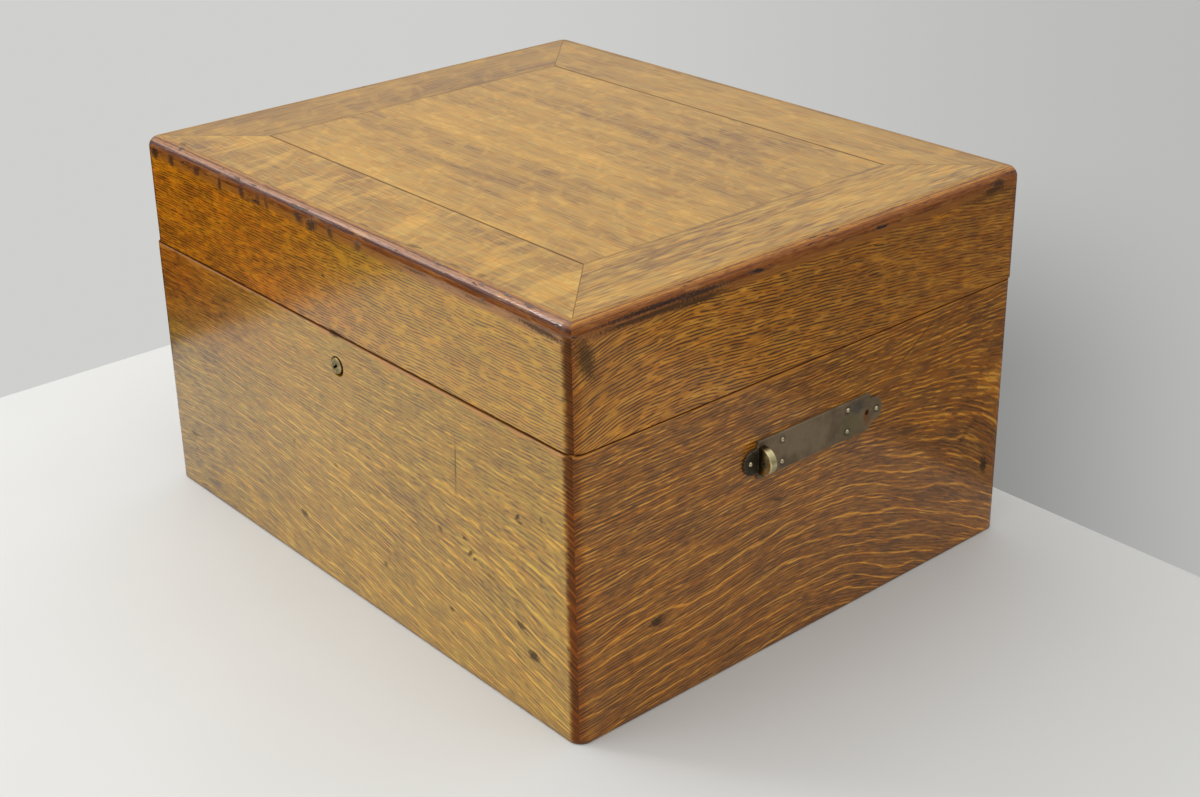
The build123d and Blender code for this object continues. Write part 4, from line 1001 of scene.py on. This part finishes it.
def swellCover(shape, held, look):
    # A padded cover swells over its wadding and is held along its seams: Blender's cloth, kept in the mesh.
    # A small cover is simulated larger than it is, where the cloth solver works well, and brought back.
    grow = look["grow"]
    resize(shape, (grow, grow, grow))
    mesh = bpy.data.meshes.new("cover")
    shape.to_mesh(mesh)
    cover = bpy.data.objects.new("cover", mesh)
    bpy.context.scene.collection.objects.link(cover)
    cover.vertex_groups.new(name="held").add(held, 1.0, "REPLACE")
    cloth = cover.modifiers.new("cloth", "CLOTH")
    cloth.settings.quality = 6
    cloth.settings.tension_stiffness = look["stiff"]
    cloth.settings.compression_stiffness = look["stiff"]
    cloth.settings.bending_stiffness = look["bending"]
    cloth.settings.use_pressure = True
    cloth.settings.uniform_pressure_force = look["pressure"]
    cloth.settings.shrink_min = -look["slack"]
    cloth.settings.vertex_group_mass = "held"
    cloth.settings.effector_weights.gravity = 0.0
    cloth.collision_settings.use_collision = False
    for number in range(1, swellFrames + 1):
        bpy.context.scene.frame_set(number)
    swollen = cover.evaluated_get(bpy.context.evaluated_depsgraph_get()).to_mesh()
    for vert, after in zip(shape.verts, swollen.vertices):
        pull = after.co - vert.co
        if pull.length > 1e-9:
            # No point moves further than the cap
            cap = look["cap"] * grow
            vert.co += pull.normalized() * cap * (1.0 - math.exp(-pull.length / cap))
    resize(shape, (1 / grow, 1 / grow, 1 / grow))
    bpy.context.scene.frame_set(1)
    bpy.data.objects.remove(cover)
    bmesh.ops.subdivide_edges(shape, edges=shape.edges[:], cuts=1, use_grid_fill=True)
    inner = [vert for vert in shape.verts if not vert.is_boundary]
    bmesh.ops.smooth_vert(shape, verts=inner, factor=0.5, use_axis_x=True, use_axis_y=True, use_axis_z=True)


# Velvet pad under the lid: swollen between its rim and one sewn channel
lidPad = {"half": (0.2388, 0.1958), "shift": 0.0015, "back": 0.2799, "edge": 0.0022, "channel": 0.034,
          "seam": 0.0026, "grow": 1.0, "pressure": 0.8, "slack": 0.008, "stiff": 15.0, "bending": 0.3,
          "cap": 0.0034}


def makeLidPad():
    shape = bmesh.new()
    bmesh.ops.create_grid(shape, x_segments=96, y_segments=78, size=0.5)
    resize(shape, (2 * lidPad["half"][0], 2 * lidPad["half"][1], 1.0))
    bmesh.ops.reverse_faces(shape, faces=shape.faces)
    held = []
    for vert in shape.verts:
        inset = min(lidPad["half"][0] - abs(vert.co.x), lidPad["half"][1] - abs(vert.co.y))
        if inset < 0.001 or abs(inset - lidPad["channel"]) < lidPad["seam"]:
            held.append(vert.index)
    swellCover(shape, held, lidPad)
    for vert in shape.verts:
        for axis in (0, 1):
            vert.co[axis] = max(-lidPad["half"][axis], min(lidPad["half"][axis], vert.co[axis]))
    move(shape, (0, lidPad["shift"], lidPad["back"] - lidPad["edge"]))
    raised = bmesh.ops.extrude_edge_only(shape, edges=boundary(shape))["geom"]
    for vert in ofKind(raised, bmesh.types.BMVert):
        vert.co.z = lidPad["back"]
    bmesh.ops.contextual_create(shape, geom=ofKind(raised, bmesh.types.BMEdge))
    piece = newPiece("lid_lining_pad", shape, velvet, "lid", "lid_lining")


# Four velvet rests that keep the handles of spoons and forks apart: cords draw them in between the places
rests = {"places": (-0.174375, -0.058125, 0.058125, 0.174375), "y": -0.060, "floor": 0.1621, "core": 0.0066,
         "half": 0.0545, "notches": 5, "cord": 0.0011, "grow": 20.0, "pressure": 3.0, "slack": 0.26,
         "stiff": 15.0, "bending": 0.3, "cap": 0.0021, "cuts": 75}


def makeRests():
    pitch = 2 * rests["half"] / rests["notches"]
    for number, middle in enumerate(rests["places"], 1):
        shape = bmesh.new()
        addRod(shape, 40, rests["core"], 2 * rests["half"] - 0.002)
        lying = Matrix.Rotation(math.pi / 2, 3, "Y")
        bmesh.ops.rotate(shape, cent=(0, 0, 0), matrix=lying, verts=shape.verts)
        bmesh.ops.bisect_plane(shape, geom=everything(shape), plane_co=(0, 0, 0.0002), plane_no=(0, 0, 1),
                               clear_inner=True)
        bmesh.ops.contextual_create(shape, geom=boundary(shape))
        cutEvenly(shape, 0, -rests["half"], rests["half"], rests["cuts"])
        bmesh.ops.recalc_face_normals(shape, faces=shape.faces)
        shape.verts.index_update()
        held = []
        for vert in shape.verts:
            place = (vert.co.x + rests["half"]) / pitch
            between = 0.5 < place < rests["notches"] - 0.5
            onCord = between and abs(place - round(place)) * pitch < rests["cord"]
            if vert.co.z < 0.0004 or onCord:
                held.append(vert.index)
        swellCover(shape, held, {**rests, "slack": rests["slack"] * (0.8 + 0.12 * number)})
        for vert in shape.verts:
            vert.co.x = max(-rests["half"], min(rests["half"], vert.co.x))
            vert.co.z = max(0.0002, vert.co.z)
        move(shape, (middle, rests["y"], rests["floor"]))
        piece = newPiece("tray_rest_%d" % number, shape, velvet, "tray", "tray_rests")


# Leather tabs, stitched down to the tray's ends, to lift it by
tabs = {"places": {"left": (-0.2295, -0.2280), "right": (0.2280, 0.2295)}, "half": 0.0119, "low": 0.1722,
        "high": 0.2159, "corner": 0.0078, "edge": 0.00035, "stitchInset": 0.0022, "stitch": 0.0019,
        "stitchGap": 0.0031, "thread": 0.00028}


def leatherFinish():
    material, shader = newFinish("brown leather")
    place = objectPlace()
    axes = split(place)
    pebble = addNode("TexVoronoi", {"Vector": place, "Scale": 1100.0}, feature="DISTANCE_TO_EDGE")
    patch = noise(place, 4.0, scale=110.0)
    color = blendColor(remap(patch, 0.35, 0.65), (0.055, 0.020, 0.009), (0.15, 0.058, 0.024))
    side = remap(absolute(axes["Y"]), tabs["half"] - 0.0012, tabs["half"])
    worn = larger(side, remap(axes["Z"], tabs["high"] - 0.006, tabs["high"]))
    plug(shader, {
        "Base Color": blendColor(times(worn, 0.5), color, (0.26, 0.12, 0.055)),
        "Roughness": remap(patch, 0.3, 0.7, 0.45, 0.65),
        "Normal": bump(remap(pebble.outputs["Distance"], 0.0, 0.25), 0.35, 0.0002),
    })
    return material


def threadFinish():
    material, shader = newFinish("linen thread")
    twist = noise(objectPlace(), 1.0, scale=3000.0)
    plug(shader, {"Base Color": blendColor(twist, (0.30, 0.24, 0.15), (0.52, 0.44, 0.30)), "Roughness": 0.8})
    return material


def stitchPlaces():
    # Down both sides of a tab and round its rounded top, walked in small steps
    inset, foot, step = tabs["stitchInset"], 0.003, 0.0001
    side, top, bend = tabs["half"] - inset, tabs["high"] - inset, tabs["corner"] - inset
    tall = top - bend - tabs["low"] - foot
    path = [(side, tabs["low"] + foot + step * count) for count in range(int(tall / step))]
    for angle in range(0, 91):
        turn = math.radians(angle)
        path.append((side - bend + bend * math.cos(turn), top - bend + bend * math.sin(turn)))
    path += [(side - bend - step * count, top) for count in range(1, int((side - bend) / step))]
    path += [(-y, z) for y, z in reversed(path)]
    places, walked = [], tabs["stitchGap"] / 2
    for (y0, z0), (y1, z1) in zip(path, path[1:]):
        walked += math.hypot(y1 - y0, z1 - z0)
        if walked >= tabs["stitchGap"]:
            walked = 0.0
            places.append((y1, z1, math.atan2(z1 - z0, y1 - y0)))
    return places


def makeTabs():
    leather, thread = leatherFinish(), threadFinish()
    for name, (near, far) in tabs["places"].items():
        shape = bmesh.new()
        bmesh.ops.create_grid(shape, x_segments=1, y_segments=1, size=0.5)
        tall = tabs["high"] - tabs["low"]
        resize(shape, (2 * tabs["half"], tall, 1.0))
        upper = [vert for vert in shape.verts if vert.co.y > 0]
        soften(shape, upper, tabs["corner"], 8, "VERTICES")
        raised = bmesh.ops.extrude_face_region(shape, geom=shape.faces[:])["geom"]
        bmesh.ops.translate(shape, vec=(0, 0, far - near), verts=ofKind(raised, bmesh.types.BMVert))
        rim = [edge for edge in shape.edges if abs(edge.verts[0].co.z - edge.verts[1].co.z) < 1e-6]
        soften(shape, rim, tabs["edge"], 3)
        middle = (tabs["low"] + tabs["high"]) / 2
        upright = Matrix(((0, 0, 1, near), (1, 0, 0, 0), (0, 1, 0, middle), (0, 0, 0, 1)))
        bmesh.ops.transform(shape, matrix=upright, verts=shape.verts)
        newPiece("tray_tab_" + name, shape, leather, "tray", "tray_lift_tabs")
        face = far if name == "left" else near
        seam = bmesh.new()
        for y, z, slope in stitchPlaces():
            start = len(seam.verts)
            addRod(seam, 6, tabs["thread"], tabs["stitch"])
            seam.verts.ensure_lookup_table()
            fresh = seam.verts[start:]
            turn = Matrix.Rotation(slope - math.pi / 2, 4, "X")
            bmesh.ops.transform(seam, matrix=Matrix.Translation((face, y, z)) @ turn, verts=fresh)
        newPiece("tray_tab_stitches_" + name, seam, thread, "tray", "tray_lift_tabs")


makeWellCloth()
makeTrayCloth()
makeLidPad()
makeRests()
makeTabs()
print("cloth, pad, rests and tabs made")


# Camera, from the fit of the box's own edges

photoCamera = {
    "place": (1.0054, -0.8304, 0.7150),
    "right": (0.6544, 0.7559, -0.0183),
    "forward": (-0.7000, 0.5965, -0.3926),
    "lens": 55.46,
    "shift": (0.0036, -0.0689),
}
cameraData = bpy.data.cameras.new("photo_camera")
cameraData.lens = photoCamera["lens"]
cameraData.sensor_width = 36.0
cameraData.shift_x, cameraData.shift_y = photoCamera["shift"]
camera = bpy.data.objects.new("photo_camera", cameraData)
forward = Vector(photoCamera["forward"]).normalized()
right = Vector(photoCamera["right"])
right = (right - right.dot(forward) * forward).normalized()
up = right.cross(forward)
turn = Matrix((right, up, -forward)).transposed().to_4x4()
camera.matrix_world = Matrix.Translation(photoCamera["place"]) @ turn
bpy.context.scene.collection.objects.link(camera)
bpy.context.scene.camera = camera
print("camera placed")


# Table top, room and lights

table = {"left": -0.506, "right": 2.6, "front": -2.6, "back": 0.268, "thick": 0.03, "round": 0.012}


def makeTable():
    shape = bmesh.new()
    bmesh.ops.create_cube(shape, size=1.0)
    size = (table["right"] - table["left"], table["back"] - table["front"], table["thick"])
    resize(shape, size)
    middle = ((table["right"] + table["left"]) / 2, (table["back"] + table["front"]) / 2, -table["thick"] / 2)
    move(shape, middle)
    soften(shape, shape.edges[:], table["round"], 4)
    mesh = bpy.data.meshes.new("table_top")
    shape.to_mesh(mesh)
    shape.free()
    top = bpy.data.objects.new("table_top", mesh)
    bpy.context.scene.collection.objects.link(top)
    material, shader = newFinish("white table")
    patch = noise(objectPlace(), 3.0, scale=5.0)
    color = ramp(patch, [(0.3, (0.735, 0.74, 0.722)), (0.7, (0.755, 0.76, 0.742))])
    plug(shader, {"Base Color": color, "Roughness": 0.55, "Specular IOR Level": 0.25})
    mesh.materials.append(material)


makeTable()

# "across" points to the right of the photo, as its camera stands
room = {"wall": ((0.63, 0.63, 0.615), (0.50, 0.50, 0.49)), "corner": (0.235, 0.235, 0.23), "side": 0.38,
        "overhead": 1.02, "behind": 0.18, "floor": 0.012, "across": (0.654, 0.756), "horizon": (0.06, -0.05),
        "skySpan": (0.2, 0.95), "floorSpan": (0.0, 0.25), "wallSpan": (-0.12, 0.32)}


def makeRoom():
    # A dark room lies below the table's left and front edges, and a pale wall stands behind
    global tree
    world = bpy.data.worlds.new("studio")
    bpy.context.scene.world = world
    world.use_nodes = True
    tree = world.node_tree
    axes = split(addNode("TexCoord").outputs["Generated"])
    low = remap(axes["Z"], *room["horizon"], smooth=True)
    sky = remap(axes["Z"], *room["skySpan"], room["side"], room["overhead"], True)
    below = remap(axes["Y"], *room["floorSpan"], room["floor"], room["behind"], True)
    around = timesPlus(low, minus(below, sky), sky)
    side = timesPlus(axes["X"], room["across"][0], times(axes["Y"], room["across"][1]))
    # Painted shade: the wall darkens towards the right
    wall = blendColor(remap(side, *room["wallSpan"], smooth=True), *room["wall"])
    # The wall's corner is in shade
    shade = times(remap(side, 0.34, 0.16, smooth=True), remap(side, -0.05, 0.1, smooth=True))
    shade = times(shade, remap(axes["Z"], -0.30, -0.42, smooth=True))
    wall = blendColor(shade, wall, room["corner"])
    # The camera sees the wall, and the chest is lit by the sky and the dark room
    seen = addNode("LightPath").outputs["Is Camera Ray"]
    plug(tree.nodes["Background"], {"Color": blendColor(seen, around, wall)})


makeRoom()

lamps = {
    "ceiling_light": {"place": (-0.9, -0.7, 1.9), "aim": (0.0, 0.0, 0.1), "size": 2.2, "power": 11.0},
    "left_lamp": {"place": (-1.13, -1.05, 1.55), "aim": (0.2, -0.2, 0.29), "size": 0.36, "power": 5.8},
    "far_left_lamp": {"place": (-2.1, -1.05, 1.55), "aim": (0.0, -0.2, 0.29), "size": 0.8, "power": 3.6},
    "window_light": {"place": (-0.7, -2.2, 1.2), "aim": (0.0, 0.0, 0.15), "size": 1.6, "power": 3.4},
}
for name, lamp in lamps.items():
    light = bpy.data.lights.new(name, "AREA")
    light.shape = "DISK"
    light.size = lamp["size"]
    light.energy = lamp["power"]
    holder = bpy.data.objects.new(name, light)
    holder.location = lamp["place"]
    aim = Vector(lamp["aim"]) - Vector(lamp["place"])
    holder.rotation_euler = aim.to_track_quat("-Z", "Y").to_euler()
    bpy.context.scene.collection.objects.link(holder)
bpy.context.scene.view_settings.view_transform = "Standard"
print("table and lights set")
